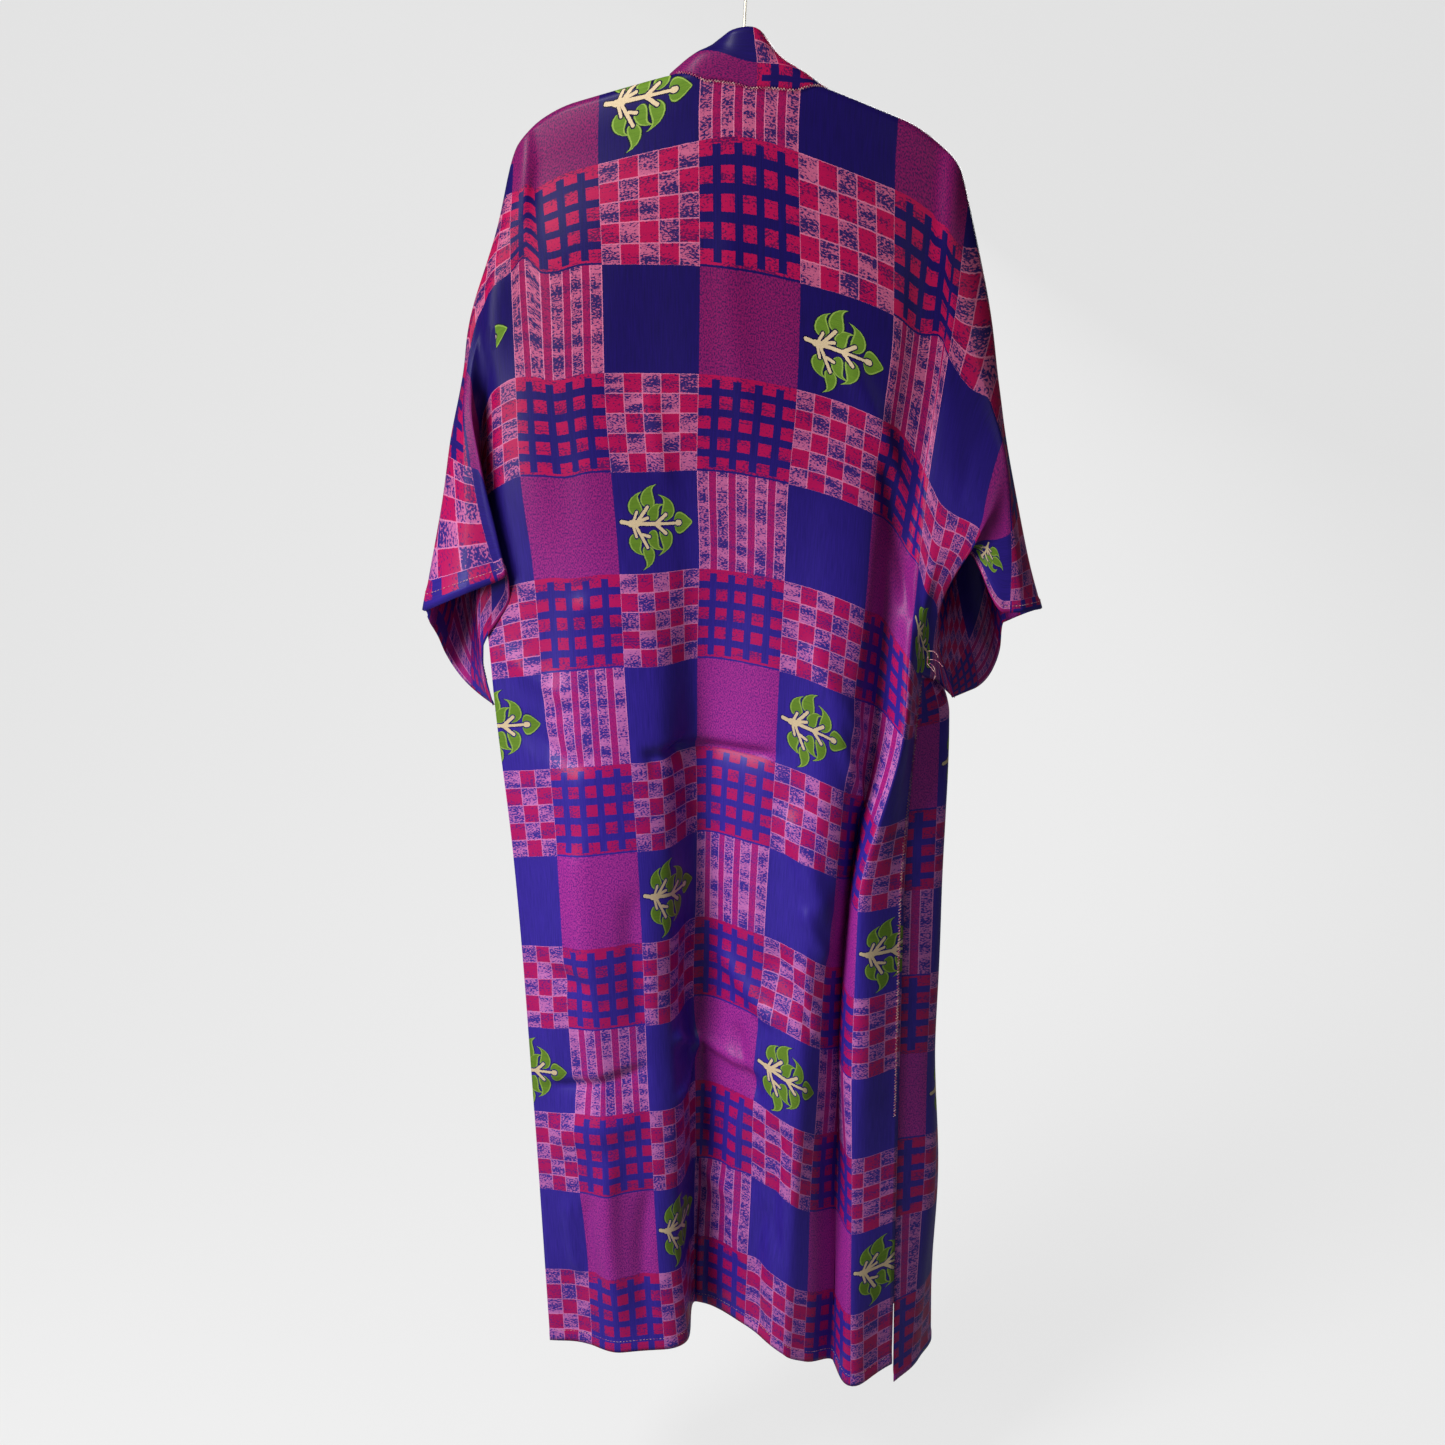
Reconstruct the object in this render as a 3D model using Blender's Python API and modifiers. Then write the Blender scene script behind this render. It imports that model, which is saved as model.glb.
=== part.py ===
"""Kimono robe on a hanger, seen from the back, in metres with +Z up.

The origin is the inner top of the hanger's hook, where the whole robe is held.
The back of the robe faces -Y, and +X is to the right of someone who looks at it.

Every cloth piece is a net of cloth lines.  "Across" is the distance from the centre
back measured in the flat cloth, and "down" is the distance below the shoulder line.
A table row is one cloth line that runs down the robe: a fold, a seam or an edge.
"""
import math

import bmesh
import bpy
import numpy as np

# Driving dimensions of the garment
WALL = 0.0015                # cloth, with its turnings
SEAM_GAP = 0.0007            # between two pieces along a seam
UNDERARM_GAP = (0.0018, 0.0036)  # the front's side seam edge from the back's: inwards, forwards
ROBE_LENGTH = 1.430          # shoulder line to hem
HALF_BACK = 0.310            # centre back to side seam
CUFF_ACROSS = 0.570          # centre back to cuff edge
ARMHOLE_DEPTH = 0.470        # shoulder line to underarm
BAND_WIDTH = 0.062           # neckband, seam to free edge
BAND_WALL = 0.0022           # it is folded double
BAND_OFF = 0.0014            # its seam edge from the panel's middle
BAND_SETTLES = 0.140         # below this depth the band lies flat with the fronts
NECK_HALF = 0.080            # centre back to the neck point
SHOULDER_OVERLAP = 0.030     # how far the back runs over the hanger to the shoulder seam

# Driving dimensions of the hanger
HANGER_HALF = 0.208          # centre to arm end
HANGER_THICK = 0.012
HANGER_DEEP = (0.030, 0.017)  # height of the arm at the centre and near its end
HANGER_TOP = -0.1085         # crown of the arms, below the hook's inner top
HANGER_TILT = math.radians(2.9)
ARM_SLOPE = math.radians(17.6)
ARM_FORWARD = 0.026          # how far the arm ends curve to the front
ARM_END = 0.165              # from here out the arms round down towards their ends
END_DROP = 0.010             # how far they have rounded down at the ends
CLOTH_SHIFT = 0.009          # the robe has slid a little to the right on the hanger
CROWN_ROUND = 0.030          # how softly the two arms meet
SEAT_GAP = 0.0018            # between the cloth and the hanger
HOOK_WIRE = 0.003
HOOK_INNER = 0.020           # inner radius of the hook

# Distances below the shoulder line at which the nets are set out
SHOULDER_TURN = (-SHOULDER_OVERLAP, -0.012, -0.006, 0.0, 0.006, 0.012, 0.045)
BODY_LEVELS = (0.180, 0.300, 0.390, ARMHOLE_DEPTH, 0.600, 0.800, 1.100, ROBE_LENGTH)
SHOULDER_Z = -0.1234         # height of the shoulder line at the left lobe

# Back, one cloth line a row: how far it hangs below the left lobe at the shoulder and at the
# hem, and then its place from left to right at each level
BACK_PLACES = (
    # across  sag  sag_hem  chest   blade   side    under   hip     waist   knee    hem
    (-0.310, 0.032, 0.012, -0.288, -0.283, -0.285, -0.285, -0.278, -0.262, -0.248, -0.236),
    (-0.255, 0.018, 0.006, -0.248, -0.243, -0.238, -0.233, -0.226, -0.213, -0.201, -0.186),
    (-0.205, 0.008, 0.002, -0.201, -0.199, -0.193, -0.187, -0.181, -0.171, -0.160, -0.145),
    (-0.150, 0.000, 0.000, -0.147, -0.147, -0.142, -0.136, -0.131, -0.120, -0.109, -0.095),
    (-0.115, 0.001, 0.000, -0.114, -0.113, -0.108, -0.104, -0.099, -0.092, -0.085, -0.074),
    (-0.050, 0.003, -0.010, -0.048, -0.050, -0.052, -0.050, -0.053, -0.054, -0.058, -0.066),
    (0.050, 0.020, -0.006, 0.054, 0.051, 0.044, 0.042, 0.037, 0.028, 0.0145, 0.003),
    (0.120, 0.040, 0.012, 0.123, 0.113, 0.108, 0.104, 0.095, 0.083, 0.065, 0.052),
    (0.150, 0.052, 0.024, 0.150, 0.139, 0.133, 0.129, 0.118, 0.104, 0.083, 0.077),
    (0.200, 0.075, 0.040, 0.182, 0.168, 0.160, 0.156, 0.147, 0.122, 0.112, 0.110),
    (0.250, 0.108, 0.056, 0.206, 0.190, 0.182, 0.178, 0.171, 0.128, 0.126, 0.131),
    (0.310, 0.135, 0.048, 0.240, 0.225, 0.205, 0.195, 0.190, 0.181, 0.182, 0.183),
)
# and how far the same cloth lines lie towards the front
BACK_DEPTHS = (
    # across  chest  blade   side    under   hip    waist  knee   hem
    (-0.310, 0.040, 0.040, 0.036, 0.034, 0.032, 0.036, 0.040, 0.040),
    (-0.255, 0.016, 0.016, 0.014, 0.014, 0.018, 0.020, 0.022, 0.024),
    (-0.205, 0.000, 0.000, 0.002, 0.002, 0.002, 0.000, 0.000, 0.000),
    (-0.150, -0.006, -0.004, -0.003, -0.002, 0.000, 0.002, 0.003, 0.004),
    (-0.115, -0.010, -0.006, -0.003, 0.000, 0.004, 0.012, 0.017, 0.020),
    (-0.050, -0.012, -0.008, 0.002, 0.010, 0.030, 0.055, 0.072, 0.090),
    (0.050, -0.012, -0.008, -0.003, 0.002, 0.008, 0.020, 0.034, 0.046),
    (0.120, -0.009, -0.008, -0.007, -0.005, -0.004, -0.006, -0.006, -0.004),
    (0.150, -0.004, -0.003, -0.001, 0.000, 0.003, 0.005, 0.006, 0.008),
    (0.200, 0.006, 0.010, 0.020, 0.028, 0.036, 0.048, 0.046, 0.042),
    (0.250, 0.010, 0.008, 0.006, 0.005, 0.002, 0.006, 0.012, 0.014),
    (0.310, 0.040, 0.036, 0.036, 0.040, 0.044, 0.032, 0.036, 0.044),
)

# The back's top edge: how far it reaches over the hanger's crown to the front
NECK_EDGE = (
    # across reach
    (0.000, -0.029),
    (0.045, -0.019),
    (NECK_HALF, 0.004),
    (0.100, 0.022),
    (0.130, SHOULDER_OVERLAP),
)

# The band behind the neck, measured in the hanger's own frame: its free edge from left to
# right, towards the front and above the hanger's top, and the middle where it clears the bar
BAND_NECK = (
    # across edge_x  edge_y  edge_up  lift_y   lift_up
    (-NECK_HALF, -0.0430, 0.0500, 0.0030, 0.0160, 0.006),
    (-0.055, -0.0340, 0.0300, 0.0170, -0.0030, 0.015),
    (-0.030, -0.0206, 0.0060, 0.0265, -0.0074, 0.009),
    (-0.014, -0.0105, -0.0035, 0.0330, -0.0080, 0.002),
    (0.000, 0.0037, -0.0045, 0.0363, -0.0080, -0.001),
    (0.014, 0.0146, -0.0035, 0.0340, -0.0080, 0.001),
    (0.030, 0.0274, 0.0060, 0.0215, -0.0074, 0.005),
    (0.055, 0.0455, 0.0320, 0.0030, -0.0030, 0.007),
    (NECK_HALF, 0.0580, 0.0500, -0.0070, 0.0160, 0.003),
)

# Sleeve backs, one cloth line a row from the shoulder to the cuff: the places, seen from
# behind, of the shoulder seam, the outline, the back edge, the fold, the tuck and the underarm
LEFT_PLACES = (
    # across seam_x  seam_z   out_x   out_z   edge_x  edge_z  fold_x  fold_z  tuck_x  tuck_z  arm_x   arm_z
    (-0.226, -0.216, -0.186, -0.227, -0.174, -0.225, -0.300, -0.220, -0.430, -0.216, -0.520, -0.206, -0.601),
    (-0.248, -0.230, -0.208, -0.240, -0.196, -0.240, -0.312, -0.238, -0.430, -0.236, -0.520, -0.227, -0.604),
    (-0.275, -0.246, -0.268, -0.258, -0.264, -0.262, -0.330, -0.260, -0.440, -0.259, -0.530, -0.253, -0.612),
    (-0.310, -0.270, -0.345, -0.286, -0.342, -0.279, -0.372, -0.275, -0.455, -0.279, -0.545, -0.283, -0.630),
    (-0.360, -0.280, -0.416, -0.299, -0.410, -0.289, -0.424, -0.285, -0.490, -0.290, -0.575, -0.289, -0.668),
    (-0.430, -0.294, -0.490, -0.315, -0.478, -0.284, -0.490, -0.279, -0.540, -0.293, -0.620, -0.292, -0.708),
    (-0.500, -0.314, -0.568, -0.328, -0.550, -0.275, -0.556, -0.267, -0.595, -0.293, -0.665, -0.293, -0.745),
    (-0.570, -0.346, -0.692, -0.353, -0.664, -0.258, -0.622, -0.256, -0.650, -0.290, -0.712, -0.283, -0.777),
)
RIGHT_PLACES = (
    # across seam_x seam_z  out_x  out_z   edge_x edge_z  fold_x fold_z  tuck_x tuck_z  arm_x  arm_z
    (0.216, 0.203, -0.208, 0.213, -0.197, 0.198, -0.380, 0.182, -0.520, 0.172, -0.600, 0.164, -0.672),
    (0.248, 0.216, -0.248, 0.228, -0.236, 0.207, -0.398, 0.190, -0.535, 0.184, -0.615, 0.178, -0.692),
    (0.275, 0.236, -0.330, 0.250, -0.325, 0.222, -0.425, 0.203, -0.560, 0.192, -0.640, 0.186, -0.712),
    (0.310, 0.250, -0.420, 0.266, -0.415, 0.245, -0.457, 0.222, -0.570, 0.201, -0.652, 0.195, -0.736),
    (0.360, 0.256, -0.480, 0.276, -0.472, 0.268, -0.500, 0.246, -0.576, 0.212, -0.656, 0.207, -0.744),
    (0.430, 0.266, -0.550, 0.291, -0.540, 0.275, -0.562, 0.244, -0.584, 0.209, -0.658, 0.215, -0.748),
    (0.500, 0.280, -0.624, 0.308, -0.610, 0.278, -0.616, 0.240, -0.591, 0.205, -0.660, 0.226, -0.760),
    (0.570, 0.292, -0.684, 0.324, -0.662, 0.278, -0.661, 0.236, -0.598, 0.201, -0.662, 0.236, -0.770),
)
# how far the same places lie towards the front
LEFT_DEPTHS = (
    # across seam   out    edge   fold   tuck   arm
    (-0.226, 0.036, 0.026, 0.006, 0.004, 0.005, 0.006),
    (-0.248, 0.048, 0.032, 0.008, 0.008, 0.010, 0.012),
    (-0.275, 0.060, 0.036, 0.010, 0.016, 0.020, 0.022),
    (-0.310, 0.066, 0.038, 0.022, 0.033, 0.034, 0.034),
    (-0.360, 0.070, 0.040, 0.012, 0.038, 0.052, 0.054),
    (-0.430, 0.076, 0.042, 0.008, 0.022, 0.044, 0.057),
    (-0.500, 0.076, 0.044, 0.007, 0.014, 0.036, 0.058),
    (-0.570, 0.070, 0.045, 0.006, 0.022, 0.034, 0.059),
)
RIGHT_DEPTHS = (
    # across seam  out    edge   fold    tuck   arm
    (0.216, 0.036, 0.026, 0.008, 0.014, 0.022, 0.024),
    (0.248, 0.048, 0.034, 0.008, 0.008, 0.010, 0.010),
    (0.275, 0.060, 0.036, 0.008, 0.004, 0.010, 0.020),
    (0.310, 0.064, 0.038, 0.008, 0.000, 0.018, 0.040),
    (0.360, 0.068, 0.040, 0.006, -0.004, 0.024, 0.052),
    (0.430, 0.072, 0.042, 0.006, 0.004, 0.032, 0.060),
    (0.500, 0.076, 0.044, 0.007, 0.012, 0.040, 0.064),
    (0.570, 0.076, 0.045, 0.008, 0.020, 0.048, 0.068),
)
# and how far down the cloth the seam, the outline and the underarm are, on either side
SLEEVE_CLOTH = (
    # across seam   out    arm
    (0.216, -0.028, 0.003, 0.470),
    (0.248, -0.020, 0.022, 0.470),
    (0.275, 0.000, 0.095, 0.470),
    (0.310, 0.010, 0.150, 0.470),
    (0.360, 0.020, 0.152, 0.440),
    (0.430, 0.030, 0.140, 0.405),
    (0.500, 0.040, 0.128, 0.378),
    (CUFF_ACROSS, 0.050, 0.110, 0.350),
)

# Fronts, from the side seam to the front edge: the place from left to right and the depth
# towards the front at the underarm, the hip, the waist, the knee and the hem
LEFT_FRONT_FOLDS = (
    # across under_x under_y hip_x  hip_y   waist_x waist_y knee_x  knee_y  hem_x   hem_y
    (-0.262, -0.248, 0.072, -0.244, 0.078, -0.238, 0.086, -0.230, 0.098, -0.226, 0.112),
    (-0.212, -0.200, 0.076, -0.198, 0.090, -0.196, 0.110, -0.190, 0.138, -0.184, 0.152),
    (-0.162, -0.152, 0.070, -0.154, 0.082, -0.154, 0.096, -0.152, 0.106, -0.150, 0.116),
    (-0.112, -0.104, 0.064, -0.106, 0.082, -0.108, 0.100, -0.110, 0.130, -0.112, 0.146),
    (-0.080, -0.073, 0.060, -0.076, 0.076, -0.078, 0.092, -0.082, 0.114, -0.086, 0.130),
)
RIGHT_FRONT_FOLDS = (
    # across under_x under_y hip_x hip_y  waist_x waist_y knee_x knee_y hem_x  hem_y
    (0.262, 0.202, 0.082, 0.230, 0.077, 0.230, 0.074, 0.232, 0.076, 0.222, 0.080),
    (0.222, 0.188, 0.096, 0.218, 0.107, 0.228, 0.108, 0.236, 0.108, 0.242, 0.114),
    (0.172, 0.150, 0.090, 0.172, 0.108, 0.182, 0.122, 0.194, 0.140, 0.206, 0.150),
    (0.120, 0.106, 0.068, 0.122, 0.088, 0.134, 0.106, 0.146, 0.124, 0.156, 0.136),
    (0.080, 0.074, 0.060, 0.086, 0.076, 0.096, 0.094, 0.110, 0.118, 0.118, 0.136),
)
FRONT_LEVELS = (ARMHOLE_DEPTH, 0.580, 0.750, 1.080, ROBE_LENGTH)
FRONT_HOLD = 0.045           # the fronts lie against the hanger down to here
FRONT_CHEST = (0.100, 0.215, 0.340)
SLEEVE_TURN = (0.0, 0.002, 0.004, 0.006)
# A sleeve front's slack at its cuff: outwards, towards the front and down
CUFF_SLACK = {-1: (0.014, 0.058, 0.024), 1: (0.024, 0.060, 0.034)}
FRONT_SAG = 0.012            # the fronts hang a little lower than the back
SLIT_DROP = 0.028            # how much lower the right front's corner hangs beside the open slit
SLIT_APART = 0.004           # and how far it stands off the back's corner

# Drawing steps
NECK_SPANS = ((-NECK_HALF, -0.045, 3), (-0.045, 0.045, 6), (0.045, NECK_HALF, 3))
SIDE_SPANS = ((NECK_HALF, 0.130, 6), (0.130, HALF_BACK, 8), (HALF_BACK, CUFF_ACROSS, 9))
CHEST_ROWS = 10
SKIRT_ROWS = 20

COLOURS = {
    "print": (0.30, 0.02, 0.16),
    "band": (0.12, 0.02, 0.20),
    "hanger": (0.55, 0.50, 0.44),
    "wire": (0.62, 0.60, 0.56),
}


def curve_through(keys, values, at):
    """Smooth curve through values at the given keys, read at other keys."""
    keys = np.asarray(keys, float)
    values = np.asarray(values, float)
    at = np.asarray(at, float)
    step = np.diff(keys)
    rise = np.diff(values, axis=0) / step.reshape(-1, *([1] * (values.ndim - 1)))
    slope = np.empty_like(values)
    slope[0] = rise[0]
    slope[-1] = rise[-1]
    for i in range(1, len(keys) - 1):
        share = step[i] / (step[i - 1] + step[i])
        least = np.minimum(np.abs(rise[i - 1]), np.abs(rise[i]))
        most = np.where(rise[i - 1] * rise[i] > 0, 3 * least, least)
        slope[i] = np.clip(share * rise[i - 1] + (1 - share) * rise[i], -most, most)
    span = np.clip(np.searchsorted(keys, at, side="right") - 1, 0, len(keys) - 2)
    shape = (-1, *([1] * (values.ndim - 1)))
    width = step[span].reshape(shape)
    t = ((at - keys[span]) / step[span]).reshape(shape)
    start, end = values[span], values[span + 1]
    out, back = slope[span] * width, slope[span + 1] * width
    return (
        start * (2 * t**3 - 3 * t**2 + 1)
        + end * (3 * t**2 - 2 * t**3)
        + out * (t**3 - 2 * t**2 + t)
        + back * (t**3 - t**2)
    )


def hanger_crown(x):
    """Height of the hanger's top edge at a place along the bar, before its tilt."""
    beyond = max(abs(x) - ARM_END, 0.0) / (HANGER_HALF - ARM_END)
    slope = math.tan(ARM_SLOPE) * (math.hypot(x, CROWN_ROUND) - CROWN_ROUND)
    return HANGER_TOP - slope - END_DROP * beyond**2


def hanger_front(x):
    """How far the hanger's middle lies towards the front at a place along the bar."""
    return ARM_FORWARD * (x / HANGER_HALF) ** 2


def tilted(x, y, z):
    """A point of the hanger after it swings about the hook's inner top, right side down."""
    c, s = math.cos(HANGER_TILT), math.sin(HANGER_TILT)
    return (x * c + z * s, y, z * c - x * s)


def over_hanger(x, reach):
    """A place on cloth laid over the arm; reach is the way past the crown to the front."""
    clear = WALL / 2 + SEAT_GAP
    turn = HANGER_THICK / 2 + clear
    quarter = turn * math.pi / 2
    top = hanger_crown(x) + clear
    side = math.copysign(1.0, reach)
    if abs(reach) < quarter:
        angle = reach / turn
        return tilted(x, hanger_front(x) + turn * math.sin(angle), top - turn * (1 - math.cos(angle)))
    return tilted(x, hanger_front(x) + side * turn, top - turn - (abs(reach) - quarter))


def neck_reach(across):
    """How far the back's top edge runs over the hanger: behind it at the neck, over it beyond."""
    keys = [row[0] for row in NECK_EDGE]
    return float(np.interp(abs(across), keys, [row[1] for row in NECK_EDGE]))


def body_columns():
    """The back's cloth lines between the sleeves: their cross places and net points."""
    table = np.array(BACK_PLACES)
    across = table[:, 0]
    place = table[:, 3:]
    depth = np.array(BACK_DEPTHS)[:, 1:]
    sag = table[:, 1:2] + (table[:, 2:3] - table[:, 1:2]) * np.linspace(0, 1, len(BODY_LEVELS))
    height = SHOULDER_Z - 1.004 * np.array(BODY_LEVELS) - sag
    return across, np.stack([place, depth, height, np.tile(BODY_LEVELS, (len(across), 1))], axis=-1)


def arm_place(across):
    """Where a cloth line lies along the hanger's bar."""
    return across + CLOTH_SHIFT


def shoulder_points(across):
    """One cloth line where it lies over the hanger: from its top edge down behind the bar."""
    x = arm_place(across)
    edge = neck_reach(across)
    rows = []
    for number, down in enumerate(SHOULDER_TURN):
        reach = min(-down, edge - 0.0025 * number) if down < FRONT_HOLD else -down
        rows.append((*over_hanger(x, reach), -reach))
    return np.array(rows)


def sleeve_column(places, depths, cloth):
    """Net points of one sleeve cloth line from the shoulder seam to the underarm seam."""
    (across, seam_x, seam_z, out_x, out_z, edge_x, edge_z,
     fold_x, fold_z, tuck_x, tuck_z, arm_x, arm_z) = places
    seam_y, out_y, edge_y, fold_y, tuck_y, arm_y = depths[1:]
    seam_down, out_down, arm_down = cloth[1:]
    inward = -math.copysign(1.0, across)
    turn = min(0.012, 0.3 * (out_down - seam_down))
    lower = max(out_down - 0.005, 0.0)
    return (
        (seam_x, seam_y, seam_z, seam_down),
        (0.4 * seam_x + 0.6 * out_x, 0.4 * seam_y + 0.6 * out_y, 0.4 * seam_z + 0.6 * out_z,
         out_down - 2 * turn),
        (out_x + inward * 0.002, out_y + 0.010, 0.2 * seam_z + 0.8 * out_z, out_down - turn),
        (out_x, out_y, out_z, out_down),
        (out_x + inward * 0.001, out_y - 0.007, out_z, out_down + 0.006),
        (out_x + inward * 0.004, out_y - 0.013, out_z, out_down + 0.012),
        (0.45 * out_x + 0.55 * edge_x, edge_y + 0.004, 0.45 * out_z + 0.55 * edge_z,
         out_down + 0.012 + 0.5 * max(0.170 - lower, 0.004)),
        (edge_x, edge_y, edge_z, max(0.182, out_down + 0.026)),
        (fold_x, fold_y, fold_z, 0.18 + 0.41 * (arm_down - 0.18)),
        (tuck_x, tuck_y, tuck_z, 0.18 + 0.72 * (arm_down - 0.18)),
        (arm_x, arm_y, arm_z, arm_down),
    )


ARM_PLACES = (-0.204, -0.160, -0.110, -0.080, -0.050, 0.0, 0.050, 0.080, 0.110, 0.160, 0.204)
ROW_KEYS = SHOULDER_TURN + BODY_LEVELS


def back_net():
    """Cloth lines of the whole back: keys across, the upper net and the skirt's net."""
    body_across, body = body_columns()
    upper = {}
    for place in ARM_PLACES:
        across = place - CLOTH_SHIFT
        chest = curve_through(body_across, body[:, :4], [across])[0]
        upper[across] = np.concatenate([shoulder_points(across), chest])
    for tables in ((LEFT_PLACES, LEFT_DEPTHS), (RIGHT_PLACES, RIGHT_DEPTHS)):
        for places, depths, cloth in zip(*tables, SLEEVE_CLOTH):
            upper[places[0]] = np.array(sleeve_column(places, depths, cloth))
    keys = sorted(upper)
    top = np.stack([upper[key] for key in keys], axis=0)
    return np.array(keys), top, body_across, body


def column_from_net(keys, top, body_across, body, across):
    """One cloth line of the back: its points at all levels, or to the underarm on a sleeve."""
    upper = curve_through(keys, top, [across])[0]
    if abs(arm_place(across)) < ARM_PLACES[-1]:
        upper[: len(SHOULDER_TURN)] = shoulder_points(across)
    if abs(across) > HALF_BACK + 1e-9:
        return upper
    lower = curve_through(body_across, body[:, 4:], [across])[0]
    return np.concatenate([upper, lower])


def read_column(column, at):
    """Points of one cloth line at the given level keys."""
    down = np.interp(at, ROW_KEYS[: len(column)], column[:, 3])
    return curve_through(column[:, 3], column, down)


def levels_between(parts):
    """Level keys between pairs of marks, with the shared marks once."""
    keys = []
    for start, end, count in parts:
        keys.extend(np.linspace(start, end, count + 1)[(1 if keys else 0):])
    return np.array(keys)


def sheet_object(name, columns, colour, roughness, thickness=WALL):
    """A cloth piece from its cloth lines, which may be of unequal length, with its wall."""
    mesh = bpy.data.meshes.new(name)
    rim = bmesh.new()
    lines = [[rim.verts.new(tuple(point[:3])) for point in column] for column in columns]
    for first, second in zip(lines, lines[1:]):
        for row in range(min(len(first), len(second)) - 1):
            rim.faces.new((first[row], first[row + 1], second[row + 1], second[row]))
    bmesh.ops.recalc_face_normals(rim, faces=rim.faces)
    rim.to_mesh(mesh)
    rim.free()
    piece = bpy.data.objects.new(name, mesh)
    ROBE.objects.link(piece)
    wall = piece.modifiers.new("cloth wall", "SOLIDIFY")
    wall.thickness = thickness
    wall.offset = 0.0
    finish(piece, name, colour, roughness, 0.0)
    return piece


def finish(piece, name, colour, roughness, metallic):
    """Give a piece its own material and smooth shading."""
    material = bpy.data.materials.new(name + " finish")
    material.use_nodes = True
    shader = material.node_tree.nodes["Principled BSDF"]
    shader.inputs["Base Color"].default_value = (*colour, 1.0)
    shader.inputs["Roughness"].default_value = roughness
    shader.inputs["Metallic"].default_value = metallic
    piece.data.materials.append(material)
    piece.data.shade_smooth()


def new_collection(name):
    """A collection of that name in the scene."""
    group = bpy.data.collections.new(name)
    bpy.context.scene.collection.children.link(group)
    return group


def make_back(net):
    """The back with its cut-on sleeve backs, as one piece of cloth."""
    sides = levels_between(SIDE_SPANS)
    across_keys = np.concatenate([-sides[:0:-1], levels_between(NECK_SPANS), sides[1:]])
    chest = levels_between(((SHOULDER_TURN[-1], ARMHOLE_DEPTH, CHEST_ROWS),))
    yoke = np.concatenate([SHOULDER_TURN, chest[1:]])
    skirt = levels_between(((ARMHOLE_DEPTH, ROBE_LENGTH, SKIRT_ROWS),))[1:]
    columns = []
    for across in across_keys:
        line = column_from_net(*net, across)
        at = yoke if abs(across) > HALF_BACK + 1e-9 else np.concatenate([yoke, skirt])
        columns.append(read_column(line, at))
    return sheet_object("back", columns, COLOURS["print"], 0.45)


def front_skirt(net, side):
    """The front's cloth lines from the underarm level down: keys across and points."""
    folds = LEFT_FRONT_FOLDS if side < 0 else RIGHT_FRONT_FOLDS
    skirts = {}
    seam = read_column(column_from_net(*net, side * HALF_BACK), FRONT_LEVELS)
    skirts[side * HALF_BACK] = [
        (x - side * UNDERARM_GAP[0], y + UNDERARM_GAP[1], z, level)
        for (x, y, z, _), level in zip(seam, FRONT_LEVELS)
    ]
    if side > 0:
        x, y, z, level = skirts[side * HALF_BACK][-1]
        skirts[side * HALF_BACK][-1] = (x + SLIT_APART, y + 0.3 * SLIT_APART, z - SLIT_DROP, level)
    for across, *spots in folds:
        body = read_column(column_from_net(*net, across), FRONT_LEVELS)
        skirts[across] = [
            (spots[2 * i], spots[2 * i + 1], body[i][2] - FRONT_SAG * i / len(FRONT_LEVELS), level)
            for i, level in enumerate(FRONT_LEVELS)
        ]
    keys = sorted(skirts)
    return keys, np.stack([np.array(skirts[key]) for key in keys])


def front_turn(across):
    """The top of a front's cloth line, from the shoulder seam down the hanger's front face."""
    edge = neck_reach(across) + SEAM_GAP
    reaches = (edge, max(0.008, edge + 0.002), max(0.014, edge + 0.004), FRONT_HOLD)
    return [(*over_hanger(arm_place(across), reach), reach) for reach in reaches]


def front_body_line(across, foot):
    """Cloth line of a front's chest: over the hanger's front face and down to the underarm."""
    points = front_turn(across)
    lead = np.array(points[-1][:3])
    for down in FRONT_CHEST:
        share = (down - FRONT_HOLD) / (ARMHOLE_DEPTH - FRONT_HOLD)
        blend = np.array((share, share**0.8, share))
        points.append((*(lead + (foot[:3] - lead) * blend), down))
    points.append(tuple(foot))
    return np.array(points)


def front_sleeve_line(net, across, foot, cloth):
    """Cloth line of a front's sleeve: from the shoulder seam round to the underarm."""
    line = column_from_net(*net, across)
    first, second = read_column(line, [ROW_KEYS[0], ROW_KEYS[0] + 0.004])[:, :3]
    run = unit(first - second)
    lead = first + run * SEAM_GAP
    share = max((abs(across) - HALF_BACK) / (CUFF_ACROSS - HALF_BACK), 0.0)
    side = math.copysign(1, across)
    outwards, forwards, down = CUFF_SLACK[side]
    belly = np.array((side * outwards * share, 0.024 + (forwards - 0.024) * share, -down * share))
    points = [lead + run * step for step in SLEEVE_TURN]
    near = points[-1]
    for step in (0.22, 0.48, 0.76):
        point = near + (foot[:3] - near) * step
        points.append(point + belly * math.sin(math.pi * step) * (1 - 0.2 * step))
    points.append(foot[:3])
    start = cloth[1] + 2 * SHOULDER_OVERLAP
    steps = np.array((0.0, 0.22, 0.48, 0.76, 1.0))
    near_down = start + SLEEVE_TURN[-1]
    down = np.concatenate([start + np.array(SLEEVE_TURN[:-1]), near_down + steps * (cloth[3] - near_down)])
    return np.column_stack([np.array(points), down])


FRONT_STARTS = (NECK_HALF, 0.100, 0.125, 0.165)


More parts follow.
